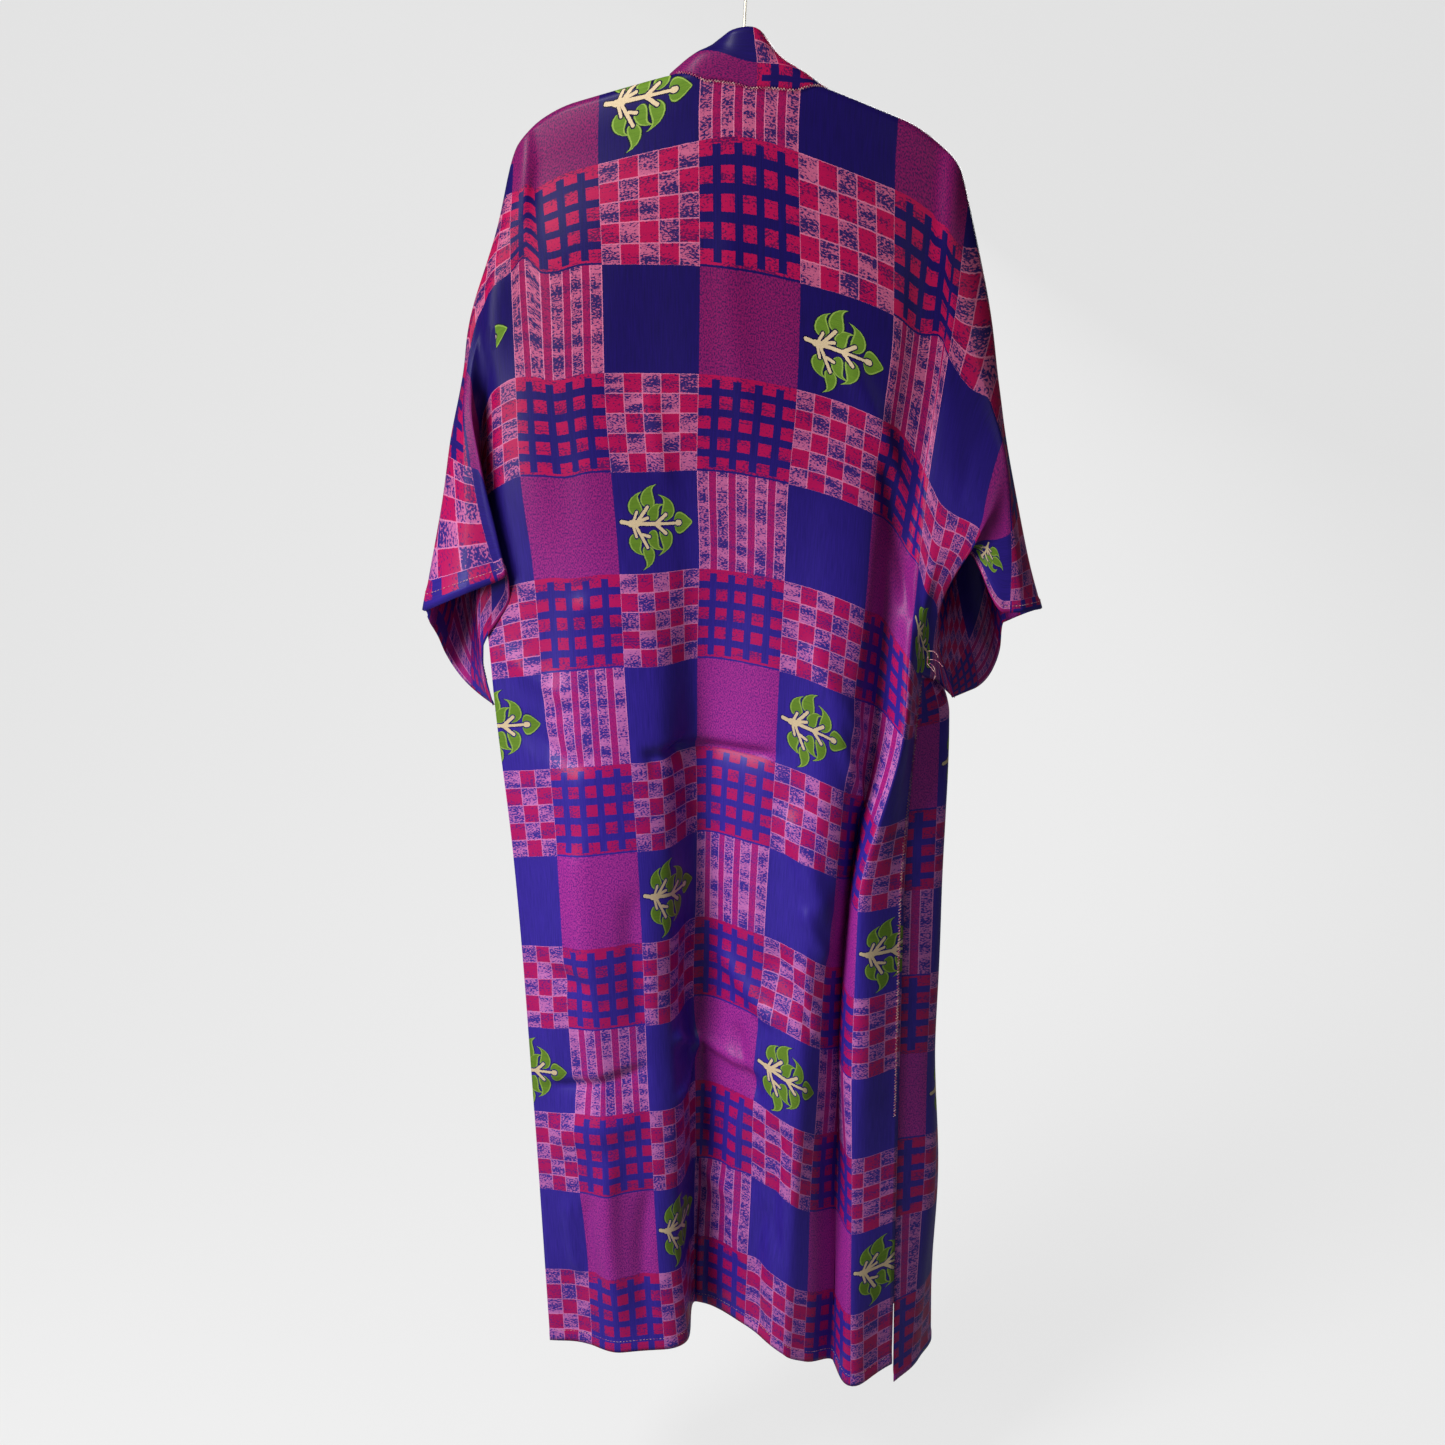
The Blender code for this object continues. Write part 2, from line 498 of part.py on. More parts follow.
def make_front(net, side):
    """One front with its cut-on sleeve front; gives back its front edge line."""
    skirt_keys, foot = front_skirt(net, side)
    columns = {}
    arm_end = abs(side * ARM_PLACES[-1] - CLOTH_SHIFT)
    for start in (*FRONT_STARTS, arm_end):
        across = side * start
        columns[across] = front_body_line(across, curve_through(skirt_keys, foot[:, 0], [across])[0])
    for row, cloth in zip(LEFT_PLACES if side < 0 else RIGHT_PLACES, SLEEVE_CLOTH):
        across = row[0]
        under = read_column(column_from_net(*net, across), [ARMHOLE_DEPTH])[0]
        under[:2] += (-side * UNDERARM_GAP[0], UNDERARM_GAP[1])
        if abs(across) < HALF_BACK:
            under = curve_through(skirt_keys, foot[:, 0], [across])[0]
        columns[across] = front_sleeve_line(net, across, under, cloth)
    keys = sorted(columns)
    top = np.stack([columns[key] for key in keys])
    cross = sorted(side * levels_between(SIDE_SPANS))
    skirt = levels_between(((ARMHOLE_DEPTH, ROBE_LENGTH, SKIRT_ROWS),))[1:]
    lines = []
    for across in cross:
        line = curve_through(keys, top, [across])[0]
        turn = len(line) - len(FRONT_CHEST) - 1
        if abs(arm_place(across)) < ARM_PLACES[-1]:
            line[:turn] = front_turn(across)
        chest = np.linspace(line[turn - 1, 3], line[-1, 3], CHEST_ROWS + 1)
        at = np.concatenate([line[:turn, 3], chest[1:]])
        if abs(across) < HALF_BACK + 1e-9:
            line = np.concatenate([line[:-1], curve_through(skirt_keys, foot, [across])[0]])
            at = np.concatenate([at, skirt])
        lines.append(curve_through(line[:, 3], line, at))
    name = "front_left" if side < 0 else "front_right"
    sheet_object(name, lines, COLOURS["print"], 0.45)
    return lines[0] if side > 0 else lines[-1]


def unit(vector):
    """The vector at length one."""
    vector = np.asarray(vector, float)
    return vector / np.linalg.norm(vector)


def band_section(seam, lift, edge):
    """The band's width at one place, from its seam over a middle point to its free edge."""
    seam, lift, edge = (np.asarray(point, float)[:3] for point in (seam, lift, edge))
    start = seam + unit(lift - seam) * BAND_OFF
    keys = (0.0, 0.42, 1.0)
    return curve_through(keys, np.stack([start, lift, edge]), np.linspace(0, 1, 5))


def neck_sections():
    """The band behind the neck, from the left neck corner to the right one."""
    keys = [row[0] for row in BAND_NECK]
    table = np.array(BAND_NECK)[:, 1:]
    sections = []
    for across in levels_between(NECK_SPANS):
        edge_x, deep, rise, lift_deep, lift_rise = curve_through(keys, table, [across])[0]
        seam = shoulder_points(across)[0]
        place = arm_place(across)
        edge = tilted(edge_x, deep, HANGER_TOP + rise)
        lift = tilted(place, lift_deep, hanger_crown(place) + lift_rise)
        sections.append(band_section(seam, lift, edge))
    return sections


def front_sections(edge_line, side):
    """The band down a front's edge: it leans forward at the neck and lies flat below."""
    sections = []
    top = edge_line[0][2]
    for point in edge_line[1:]:
        below = min((top - point[2]) / BAND_SETTLES, 1.0)
        ease = below * below * (3 - 2 * below)
        lean = unit((-side * 0.50, 0.86, 0.10)) * (1 - ease) + unit((-side * 0.97, 0.24, -0.04)) * ease
        edge = point[:3] + unit(lean) * BAND_WIDTH
        crest = point[:3] + unit(lean) * 0.45 * BAND_WIDTH + np.array((0.0, 0.004, 0.003))
        sections.append(band_section(point, crest, edge))
    return sections


def make_band(left_edge, right_edge):
    """The neckband: one strip from the left hem, round behind the neck, to the right hem."""
    left = front_sections(left_edge, -1)
    right = front_sections(right_edge, 1)
    strips = left[::-1] + neck_sections() + right
    return sheet_object("neck_band", strips, COLOURS["band"], 0.45, BAND_WALL)


def make_hanger():
    """Plain contoured hanger: two arms in one bar with rounded ends, drilled for its hook."""
    stations = 25
    ring = 12
    mesh = bmesh.new()
    rings = []
    for x in np.linspace(-HANGER_HALF, HANGER_HALF, stations):
        away = abs(x) / HANGER_HALF
        tall = HANGER_DEEP[0] + (HANGER_DEEP[1] - HANGER_DEEP[0]) * away
        end = math.sqrt(max(1 - ((abs(x) - HANGER_HALF + tall / 2) / (tall / 2)) ** 2, 0.04))
        shrink = 1.0 if abs(x) < HANGER_HALF - tall / 2 else end
        crown = hanger_crown(x)
        half_tall = tall / 2 * shrink
        middle = crown - tall / 2 - (1 - shrink) * 0.004
        points = []
        for i in range(ring):
            angle = 2 * math.pi * i / ring
            c, s = math.cos(angle), math.sin(angle)
            y = math.copysign(abs(c) ** 0.6, c) * HANGER_THICK / 2 * max(shrink, 0.35)
            z = math.copysign(abs(s) ** 0.8, s) * half_tall
            points.append(mesh.verts.new(tilted(x, hanger_front(x) + y, middle + z)))
        rings.append(points)
    for first, second in zip(rings, rings[1:]):
        for i in range(ring):
            j = (i + 1) % ring
            mesh.faces.new((first[i], first[j], second[j], second[i]))
    mesh.faces.new(rings[0])
    mesh.faces.new(rings[-1])
    bmesh.ops.recalc_face_normals(mesh, faces=mesh.faces)
    data = bpy.data.meshes.new("hanger_bar")
    mesh.to_mesh(data)
    mesh.free()
    bar = bpy.data.objects.new("hanger_bar", data)
    ROBE.objects.link(bar)
    finish(bar, "hanger_bar", COLOURS["hanger"], 0.4, 0.0)

    bore_depth = 0.016
    bpy.ops.mesh.primitive_cylinder_add(
        vertices=16,
        radius=HOOK_WIRE / 2 + 0.0003,
        depth=2 * bore_depth,
        location=tilted(0.0, hanger_front(0.0), hanger_crown(0.0)),
        rotation=(0.0, HANGER_TILT, 0.0),
    )
    drill = bpy.context.active_object
    drill.name = "hook bore cutter"
    drill.hide_render = True
    drill.display_type = "WIRE"
    for group in list(drill.users_collection):
        group.objects.unlink(drill)
    CUTTERS.objects.link(drill)
    bore = bar.modifiers.new("hook bore", "BOOLEAN")
    bore.object = drill
    bore.operation = "DIFFERENCE"
    return hanger_crown(0.0) - bore_depth + 0.0003


def make_hook(foot):
    """Wire hook: a straight shank that bends aside and then over the top, with a round end."""
    radius = HOOK_INNER + HOOK_WIRE / 2
    centre = -HOOK_INNER
    bend = -0.046
    points = [(0.0, foot), (0.0, -0.085), (0.0, bend)]
    sweep_start = math.radians(-150)
    for i in range(5):
        t = i / 5
        start = np.array((0.0, bend))
        end = np.array((radius * math.cos(sweep_start), centre + radius * math.sin(sweep_start)))
        lead_out = np.array((0.0, 0.018))
        lead_in = np.array((-0.012, 0.018))
        h = (2 * t**3 - 3 * t**2 + 1, t**3 - 2 * t**2 + t, 3 * t**2 - 2 * t**3, t**3 - t**2)
        if i:
            points.append(tuple(h[0] * start + h[1] * lead_out + h[2] * end + h[3] * lead_in))
    for i in range(17):
        angle = sweep_start - math.radians(230) * i / 16
        points.append((radius * math.cos(angle), centre + radius * math.sin(angle)))
    path = bpy.data.curves.new("hanger_hook", "CURVE")
    path.dimensions = "3D"
    path.bevel_depth = HOOK_WIRE / 2
    path.bevel_resolution = 2
    path.use_fill_caps = True
    wire = path.splines.new("POLY")
    wire.points.add(len(points) - 1)
    for spot, (x, z) in zip(wire.points, points):
        spot.co = (*tilted(x, hanger_front(0.0), z), 1.0)
    hook = bpy.data.objects.new("hanger_hook", path)
    ROBE.objects.link(hook)
    material = bpy.data.materials.new("hanger_hook finish")
    material.use_nodes = True
    shader = material.node_tree.nodes["Principled BSDF"]
    shader.inputs["Base Color"].default_value = (*COLOURS["wire"], 1.0)
    shader.inputs["Roughness"].default_value = 0.3
    shader.inputs["Metallic"].default_value = 1.0
    path.materials.append(material)
    return hook


for old in list(bpy.data.objects):
    bpy.data.objects.remove(old, do_unlink=True)

ROBE = new_collection("kimono robe")
CUTTERS = new_collection("cutters")

NET = back_net()
make_back(NET)
LEFT_EDGE = make_front(NET, -1)
RIGHT_EDGE = make_front(NET, 1)
make_band(LEFT_EDGE, RIGHT_EDGE)
make_hook(make_hanger())
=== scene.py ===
"""Kimono robe on a hanger: the finished garment, in metres with +Z up.

The robe hangs by the shoulders with its back to the viewer, at -Y.  Every cloth piece is
a net of cloth lines: "across" is the distance from the centre back measured in the flat
cloth, and "down" the distance below the shoulder line.  The print is laid out in the same
flat measures, so that it follows each fold.
"""

import functools
import math

import bmesh
import bpy
import numpy as np
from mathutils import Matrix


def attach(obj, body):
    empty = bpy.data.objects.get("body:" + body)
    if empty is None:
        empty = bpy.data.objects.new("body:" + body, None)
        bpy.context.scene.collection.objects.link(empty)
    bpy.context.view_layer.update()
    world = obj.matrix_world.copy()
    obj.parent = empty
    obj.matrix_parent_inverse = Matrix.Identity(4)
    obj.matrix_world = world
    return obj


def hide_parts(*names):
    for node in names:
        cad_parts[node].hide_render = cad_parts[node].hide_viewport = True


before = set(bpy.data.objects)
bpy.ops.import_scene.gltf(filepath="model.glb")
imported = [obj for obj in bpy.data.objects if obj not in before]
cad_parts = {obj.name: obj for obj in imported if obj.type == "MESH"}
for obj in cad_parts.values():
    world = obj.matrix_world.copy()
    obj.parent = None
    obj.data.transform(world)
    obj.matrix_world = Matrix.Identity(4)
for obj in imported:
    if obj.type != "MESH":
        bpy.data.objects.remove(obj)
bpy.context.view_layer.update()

# Driving dimensions of the garment
WALL = 0.0015                # cloth, with its turnings
SEAM_GAP = 0.0004            # between two pieces along a seam
UNDERARM_GAP = (0.0010, 0.0024)  # the front's side seam edge from the back's: inwards, forwards
ROBE_LENGTH = 1.430          # shoulder line to hem
HALF_BACK = 0.310            # centre back to side seam
CUFF_ACROSS = 0.570          # centre back to cuff edge
ARMHOLE_DEPTH = 0.470        # shoulder line to underarm
BAND_WIDTH = 0.062           # neckband, seam to free edge
BAND_OFF = 0.0004            # its seam edge from the panel's middle
BAND_SETTLES = 0.140         # below this depth the band lies flat with the fronts
BAND_LEAN = ((0.50, 0.86, 0.10), (0.97, 0.24, -0.04))  # its way inwards, forwards, up: top, below
NECK_HALF = 0.080            # centre back to the neck point
SHOULDER_OVERLAP = 0.030     # how far the back runs over the hanger to the shoulder seam

# Driving dimensions of the hanger
HANGER_HALF = 0.208          # centre to arm end
HANGER_THICK = 0.012
HANGER_TOP = -0.1085         # crown of the arms, below the hook's inner top
HANGER_TILT = math.radians(2.9)
ARM_SLOPE = math.radians(17.6)
ARM_FORWARD = 0.026          # how far the arm ends curve to the front
ARM_END = 0.165              # from here out the arms round down towards their ends
END_DROP = 0.010             # how far they have rounded down at the ends
CLOTH_SHIFT = 0.009          # the robe has slid a little to the right on the hanger
CROWN_ROUND = 0.030          # how softly the two arms meet
SEAT_GAP = 0.0018            # between the cloth and the hanger

# Distances below the shoulder line at which the nets are set out
SHOULDER_TURN = (-SHOULDER_OVERLAP, -0.012, -0.006, 0.0, 0.006, 0.012, 0.045)
BODY_LEVELS = (0.180, 0.300, 0.390, ARMHOLE_DEPTH, 0.600, 0.800, 1.100, ROBE_LENGTH)
SHOULDER_Z = -0.1234         # height of the shoulder line at the left lobe
HANG_DOWN = 1.004            # how far down a metre of the back's cloth reaches

# Back, one cloth line a row: how far it hangs below the left lobe at the shoulder and at the
# hem, and then its place from left to right at each level
BACK_PLACES = (
    # across  sag  sag_hem  chest   blade   side    under   hip     waist   knee    hem
    (-0.310, 0.032, 0.012, -0.288, -0.283, -0.285, -0.285, -0.278, -0.262, -0.248, -0.236),
    (-0.255, 0.018, 0.006, -0.248, -0.243, -0.238, -0.233, -0.226, -0.213, -0.201, -0.186),
    (-0.205, 0.008, 0.002, -0.201, -0.199, -0.193, -0.187, -0.181, -0.171, -0.160, -0.145),
    (-0.150, 0.000, 0.000, -0.147, -0.147, -0.142, -0.136, -0.131, -0.120, -0.109, -0.095),
    (-0.115, 0.001, 0.000, -0.114, -0.113, -0.108, -0.104, -0.099, -0.092, -0.085, -0.074),
    (-0.050, 0.003, -0.010, -0.048, -0.050, -0.052, -0.050, -0.053, -0.054, -0.058, -0.066),
    (0.050, 0.020, -0.006, 0.054, 0.051, 0.044, 0.042, 0.037, 0.028, 0.0145, 0.003),
    (0.120, 0.040, 0.012, 0.123, 0.113, 0.108, 0.104, 0.095, 0.083, 0.065, 0.052),
    (0.150, 0.052, 0.024, 0.150, 0.139, 0.133, 0.129, 0.118, 0.104, 0.083, 0.077),
    (0.200, 0.075, 0.040, 0.182, 0.168, 0.160, 0.156, 0.147, 0.122, 0.112, 0.110),
    (0.250, 0.108, 0.056, 0.206, 0.190, 0.182, 0.178, 0.171, 0.128, 0.126, 0.131),
    (0.310, 0.135, 0.048, 0.240, 0.225, 0.205, 0.195, 0.190, 0.181, 0.182, 0.183),
)
# and how far the same cloth lines lie towards the front
BACK_DEPTHS = (
    # across  chest  blade   side    under   hip    waist  knee   hem
    (-0.310, 0.040, 0.040, 0.036, 0.034, 0.032, 0.036, 0.040, 0.040),
    (-0.255, 0.016, 0.016, 0.014, 0.014, 0.018, 0.020, 0.022, 0.024),
    (-0.205, 0.000, 0.000, 0.002, 0.002, 0.002, 0.000, 0.000, 0.000),
    (-0.150, -0.006, -0.004, -0.003, -0.002, 0.000, 0.002, 0.003, 0.004),
    (-0.115, -0.010, -0.006, -0.003, 0.000, 0.004, 0.012, 0.017, 0.020),
    (-0.050, -0.012, -0.008, 0.002, 0.010, 0.030, 0.055, 0.072, 0.090),
    (0.050, -0.012, -0.008, -0.003, 0.002, 0.008, 0.020, 0.034, 0.046),
    (0.120, -0.009, -0.008, -0.007, -0.005, -0.004, -0.006, -0.006, -0.004),
    (0.150, -0.004, -0.003, -0.001, 0.000, 0.003, 0.005, 0.006, 0.008),
    (0.200, 0.006, 0.010, 0.020, 0.028, 0.036, 0.048, 0.046, 0.042),
    (0.250, 0.010, 0.008, 0.006, 0.005, 0.002, 0.006, 0.012, 0.014),
    (0.310, 0.040, 0.036, 0.036, 0.040, 0.044, 0.032, 0.036, 0.044),
)

# The back's top edge: how far it reaches over the hanger's crown to the front
NECK_EDGE = (
    # across reach
    (0.000, -0.029),
    (0.045, -0.019),
    (NECK_HALF, 0.004),
    (0.100, 0.022),
    (0.130, SHOULDER_OVERLAP),
)

# The band behind the neck, measured in the hanger's own frame: its free edge from left to
# right, towards the front and above the hanger's top, and the middle where it clears the bar
BAND_NECK = (
    # across edge_x  edge_y  edge_up  lift_y   lift_up
    (-NECK_HALF, -0.0430, 0.0500, 0.0030, 0.0160, 0.006),
    (-0.055, -0.0340, 0.0300, 0.0170, -0.0030, 0.015),
    (-0.030, -0.0206, 0.0060, 0.0265, -0.0074, 0.009),
    (-0.014, -0.0105, -0.0035, 0.0330, -0.0080, 0.002),
    (0.000, 0.0037, -0.0045, 0.0363, -0.0080, -0.001),
    (0.014, 0.0146, -0.0035, 0.0340, -0.0080, 0.001),
    (0.030, 0.0274, 0.0060, 0.0215, -0.0074, 0.005),
    (0.055, 0.0455, 0.0320, 0.0030, -0.0030, 0.007),
    (NECK_HALF, 0.0580, 0.0500, -0.0070, 0.0160, 0.003),
)

# Sleeve backs, one cloth line a row from the shoulder to the cuff: the places, seen from
# behind, of the shoulder seam, the outline, the back edge, the fold, the tuck and the underarm
LEFT_PLACES = (
    # across seam_x  seam_z   out_x   out_z   edge_x  edge_z  fold_x  fold_z  tuck_x  tuck_z  arm_x   arm_z
    (-0.226, -0.216, -0.186, -0.227, -0.174, -0.225, -0.300, -0.220, -0.430, -0.216, -0.520, -0.206, -0.601),
    (-0.248, -0.230, -0.208, -0.240, -0.196, -0.240, -0.312, -0.238, -0.430, -0.236, -0.520, -0.227, -0.604),
    (-0.275, -0.246, -0.268, -0.258, -0.264, -0.262, -0.330, -0.260, -0.440, -0.259, -0.530, -0.253, -0.612),
    (-0.310, -0.270, -0.345, -0.286, -0.342, -0.279, -0.372, -0.275, -0.455, -0.279, -0.545, -0.283, -0.630),
    (-0.360, -0.280, -0.416, -0.299, -0.410, -0.289, -0.424, -0.285, -0.490, -0.290, -0.575, -0.289, -0.668),
    (-0.430, -0.294, -0.490, -0.315, -0.478, -0.284, -0.490, -0.279, -0.540, -0.293, -0.620, -0.292, -0.708),
    (-0.500, -0.314, -0.568, -0.328, -0.550, -0.275, -0.556, -0.267, -0.595, -0.293, -0.665, -0.293, -0.745),
    (-0.570, -0.346, -0.692, -0.353, -0.664, -0.258, -0.622, -0.256, -0.650, -0.290, -0.712, -0.283, -0.777),
)
RIGHT_PLACES = (
    # across seam_x seam_z  out_x  out_z   edge_x edge_z  fold_x fold_z  tuck_x tuck_z  arm_x  arm_z
    (0.216, 0.203, -0.208, 0.213, -0.197, 0.198, -0.380, 0.182, -0.520, 0.172, -0.600, 0.164, -0.672),
    (0.248, 0.216, -0.248, 0.228, -0.236, 0.207, -0.398, 0.190, -0.535, 0.184, -0.615, 0.178, -0.692),
    (0.275, 0.236, -0.330, 0.250, -0.325, 0.222, -0.425, 0.203, -0.560, 0.192, -0.640, 0.186, -0.712),
    (0.310, 0.250, -0.420, 0.266, -0.415, 0.245, -0.457, 0.222, -0.570, 0.201, -0.652, 0.195, -0.736),
    (0.360, 0.256, -0.480, 0.276, -0.472, 0.268, -0.500, 0.246, -0.576, 0.212, -0.656, 0.207, -0.744),
    (0.430, 0.266, -0.550, 0.291, -0.540, 0.275, -0.562, 0.244, -0.584, 0.209, -0.658, 0.215, -0.748),
    (0.500, 0.280, -0.624, 0.308, -0.610, 0.278, -0.616, 0.240, -0.591, 0.205, -0.660, 0.226, -0.760),
    (0.570, 0.292, -0.684, 0.324, -0.662, 0.278, -0.661, 0.236, -0.598, 0.201, -0.662, 0.236, -0.770),
)
# how far the same places lie towards the front
LEFT_DEPTHS = (
    # across seam   out    edge   fold   tuck   arm
    (-0.226, 0.036, 0.026, 0.006, 0.004, 0.005, 0.006),
    (-0.248, 0.048, 0.032, 0.008, 0.008, 0.010, 0.012),
    (-0.275, 0.060, 0.036, 0.010, 0.016, 0.020, 0.022),
    (-0.310, 0.066, 0.038, 0.022, 0.033, 0.034, 0.034),
    (-0.360, 0.070, 0.040, 0.012, 0.038, 0.052, 0.054),
    (-0.430, 0.076, 0.042, 0.008, 0.022, 0.044, 0.057),
    (-0.500, 0.076, 0.044, 0.007, 0.014, 0.036, 0.058),
    (-0.570, 0.070, 0.045, 0.006, 0.022, 0.034, 0.059),
)
RIGHT_DEPTHS = (
    # across seam  out    edge   fold    tuck   arm
    (0.216, 0.036, 0.026, 0.008, 0.014, 0.022, 0.024),
    (0.248, 0.048, 0.034, 0.008, 0.008, 0.010, 0.010),
    (0.275, 0.060, 0.036, 0.008, 0.004, 0.010, 0.020),
    (0.310, 0.064, 0.038, 0.008, 0.000, 0.018, 0.040),
    (0.360, 0.068, 0.040, 0.006, -0.004, 0.024, 0.052),
    (0.430, 0.072, 0.042, 0.006, 0.004, 0.032, 0.060),
    (0.500, 0.076, 0.044, 0.007, 0.012, 0.040, 0.064),
    (0.570, 0.076, 0.045, 0.008, 0.020, 0.048, 0.068),
)
# and how far down the cloth the seam, the outline and the underarm are, on either side
SLEEVE_CLOTH = (
    # across seam   out    arm
    (0.216, -0.028, 0.003, 0.470),
    (0.248, -0.020, 0.022, 0.470),
    (0.275, 0.000, 0.095, 0.470),
    (0.310, 0.010, 0.150, 0.470),
    (0.360, 0.020, 0.152, 0.440),
    (0.430, 0.030, 0.140, 0.405),
    (0.500, 0.040, 0.128, 0.378),
    (CUFF_ACROSS, 0.050, 0.110, 0.350),
)

# Fronts, from the side seam to the front edge: the place from left to right and the depth
# towards the front at the underarm, the hip, the waist, the knee and the hem
LEFT_FRONT_FOLDS = (
    # across under_x under_y hip_x  hip_y   waist_x waist_y knee_x  knee_y  hem_x   hem_y
    (-0.262, -0.248, 0.072, -0.244, 0.078, -0.238, 0.086, -0.230, 0.098, -0.226, 0.112),
    (-0.212, -0.200, 0.076, -0.198, 0.090, -0.196, 0.110, -0.190, 0.138, -0.184, 0.152),
    (-0.162, -0.152, 0.070, -0.154, 0.082, -0.154, 0.096, -0.152, 0.106, -0.150, 0.116),
    (-0.112, -0.104, 0.064, -0.106, 0.082, -0.108, 0.100, -0.110, 0.130, -0.112, 0.146),
    (-0.080, -0.073, 0.060, -0.076, 0.076, -0.078, 0.092, -0.082, 0.114, -0.086, 0.130),
)
RIGHT_FRONT_FOLDS = (
    # across under_x under_y hip_x hip_y  waist_x waist_y knee_x knee_y hem_x  hem_y
    (0.262, 0.202, 0.082, 0.230, 0.077, 0.230, 0.074, 0.232, 0.076, 0.222, 0.080),
    (0.222, 0.188, 0.096, 0.218, 0.107, 0.228, 0.108, 0.236, 0.108, 0.242, 0.114),
    (0.172, 0.150, 0.090, 0.172, 0.108, 0.182, 0.122, 0.194, 0.140, 0.206, 0.150),
    (0.120, 0.106, 0.068, 0.122, 0.088, 0.134, 0.106, 0.146, 0.124, 0.156, 0.136),
    (0.080, 0.074, 0.060, 0.086, 0.076, 0.096, 0.094, 0.110, 0.118, 0.118, 0.136),
)
FRONT_LEVELS = (ARMHOLE_DEPTH, 0.580, 0.750, 1.080, ROBE_LENGTH)
FRONT_HOLD = 0.045           # the fronts lie against the hanger down to here
FRONT_CHEST = (0.100, 0.215, 0.340)  # levels of a front between the hanger and the underarm
SLEEVE_TURN = (0.0, 0.002, 0.004, 0.006)  # a sleeve front's cloth just past its shoulder seam
SLEEVE_STEPS = (0.22, 0.48, 0.76)  # and the places on its way round to the underarm
# A sleeve front's slack at its cuff: outwards, towards the front and down
CUFF_SLACK = {-1: (0.014, 0.058, 0.024), 1: (0.024, 0.060, 0.034)}
FRONT_SAG = 0.012            # the fronts hang a little lower than the back
SLIT_DROP = 0.028            # how much lower the right front's corner hangs beside the open slit
SLIT_APART = 0.004           # and how far it stands off the back's corner

FRONT_STARTS = (NECK_HALF, 0.100, 0.125, 0.165)  # a front's own cloth lines over the hanger

# How finely the cloth is drawn here, and its look
CLOTH = 0.0009               # wall of the printed cloth
BAND_CLOTH = 0.0020          # wall of the folded neckband
HEM_TURN = 0.014             # hems are turned in by this much
HEM_LIFT = 0.0009            # and stand out by this much
HEM_SLOPE = (0.003, 0.001)   # the step there starts and ends this far from its line
NECK_SPANS = ((-NECK_HALF, -0.045, 8), (-0.045, 0.045, 18), (0.045, NECK_HALF, 8))
SIDE_SPANS = ((NECK_HALF, 0.130, 10), (0.130, HALF_BACK, 34), (HALF_BACK, CUFF_ACROSS, 46))
CHEST_ROWS = 80
SKIRT_ROWS = 205
BAND_ROWS = 13
STITCH_INSIDE = 0.002        # the hem's stitches from the inner edge of its turning
PRINT_TURN = (0.33, 2.544)   # the fronts are cut from the cloth turned round: where it starts
BAND_PRINT = (0.181, 0.486)  # the place in the print of the band's seam at the centre back

# The print's sizes in the flat cloth
SQUARE = 0.1                 # width of a printed square
PRINT_START = 0.072          # shoulder line to the first whole pair of rows
ROW_PAIR = 0.210             # a row of lattices and checkers with the row below it
UPPER_ROW = 0.102            # height of the row of lattices and checkers
BAR_PITCH = 0.0216           # lattice bars and stripes, from one to the next
BAR_START = 0.0134           # and the ground before each one
LATTICE_INNER = (0.051, 0.0465)  # middle and half of the height that the upright bars take up
CHECK = (0.02, 0.0205)       # a small square of the checkers: across, down
CHECK_LINE = 0.0006          # half of the pale line round it
STRIPE_EDGE = (0.0009, 0.0130, 0.0005)  # a stripe's pale edges: end of one, middle and half of the other
SPRIG_MIDDLE = 0.054         # top of its square to the sprig's stem
SPRIG_RIM = (0.0014, 0.0013)  # dark rim round its leaves and round its stem
LEAF_LIGHT = (-0.0011, 0.0007)  # the light line inside a leaf's edge: middle and half
WANDER = 0.0010              # how far the print's edges wander
PLEAT_FROM = -0.272          # the left sleeve's pleat takes up the sprig beyond here
PLEAT_DOWN = (0.228, 0.060)  # middle and half of the height that it takes up

HEM_LIGHT_AND_GLOSS_FROM = (0.60, 0.30)  # how far below the hook the painted hem light and the extra gloss set in: middle, to either side
HEM_GLOSS = 0.26             # how much more the cloth shines there
STITCH = (0.0026, 0.0014)    # a stitch and the gap after it
STITCH_OUT = 0.0006          # a stitch's middle from the cloth's middle
SEAM_INSIDE = 0.003          # sewing stops or runs this far inside the back's side edge
CUFF_SEWN = (0.10, 0.34)     # the part of a cuff that is stitched, down the cloth
SIDE_SEWN = (0.48, 1.08)     # and of the right side seam that shows its overlock
NECK_SEWN = (-0.074, 0.080, 60)  # the neck seam's overlock, across the cloth, and its points
NECK_SEAM_OUT = (0.0, -0.0022, 0.0004)  # the overlock thread from the neck seam
SIDE_SEAM_OUT = 0.0014       # and from the side seam's cloth
NECK_ZIGZAG = (0.0030, 0.0012)  # the overlock's pitch and how far it swings to either side
SIDE_ZIGZAG = (0.0036, 0.0016)
STITCH_THICK, THREAD_THICK = 0.0006, 0.0007
LOOSE_THREADS = (
    # from x  y      z       to x    y      z       sway
    (0.199, 0.020, -0.712, 0.206, 0.006, -0.728, -0.004),
    (0.200, 0.021, -0.716, 0.214, 0.008, -0.720, 0.004),
    (0.199, 0.019, -0.706, 0.208, 0.006, -0.710, 0.004),
    (0.201, 0.022, -0.720, 0.204, 0.006, -0.735, 0.004),
)

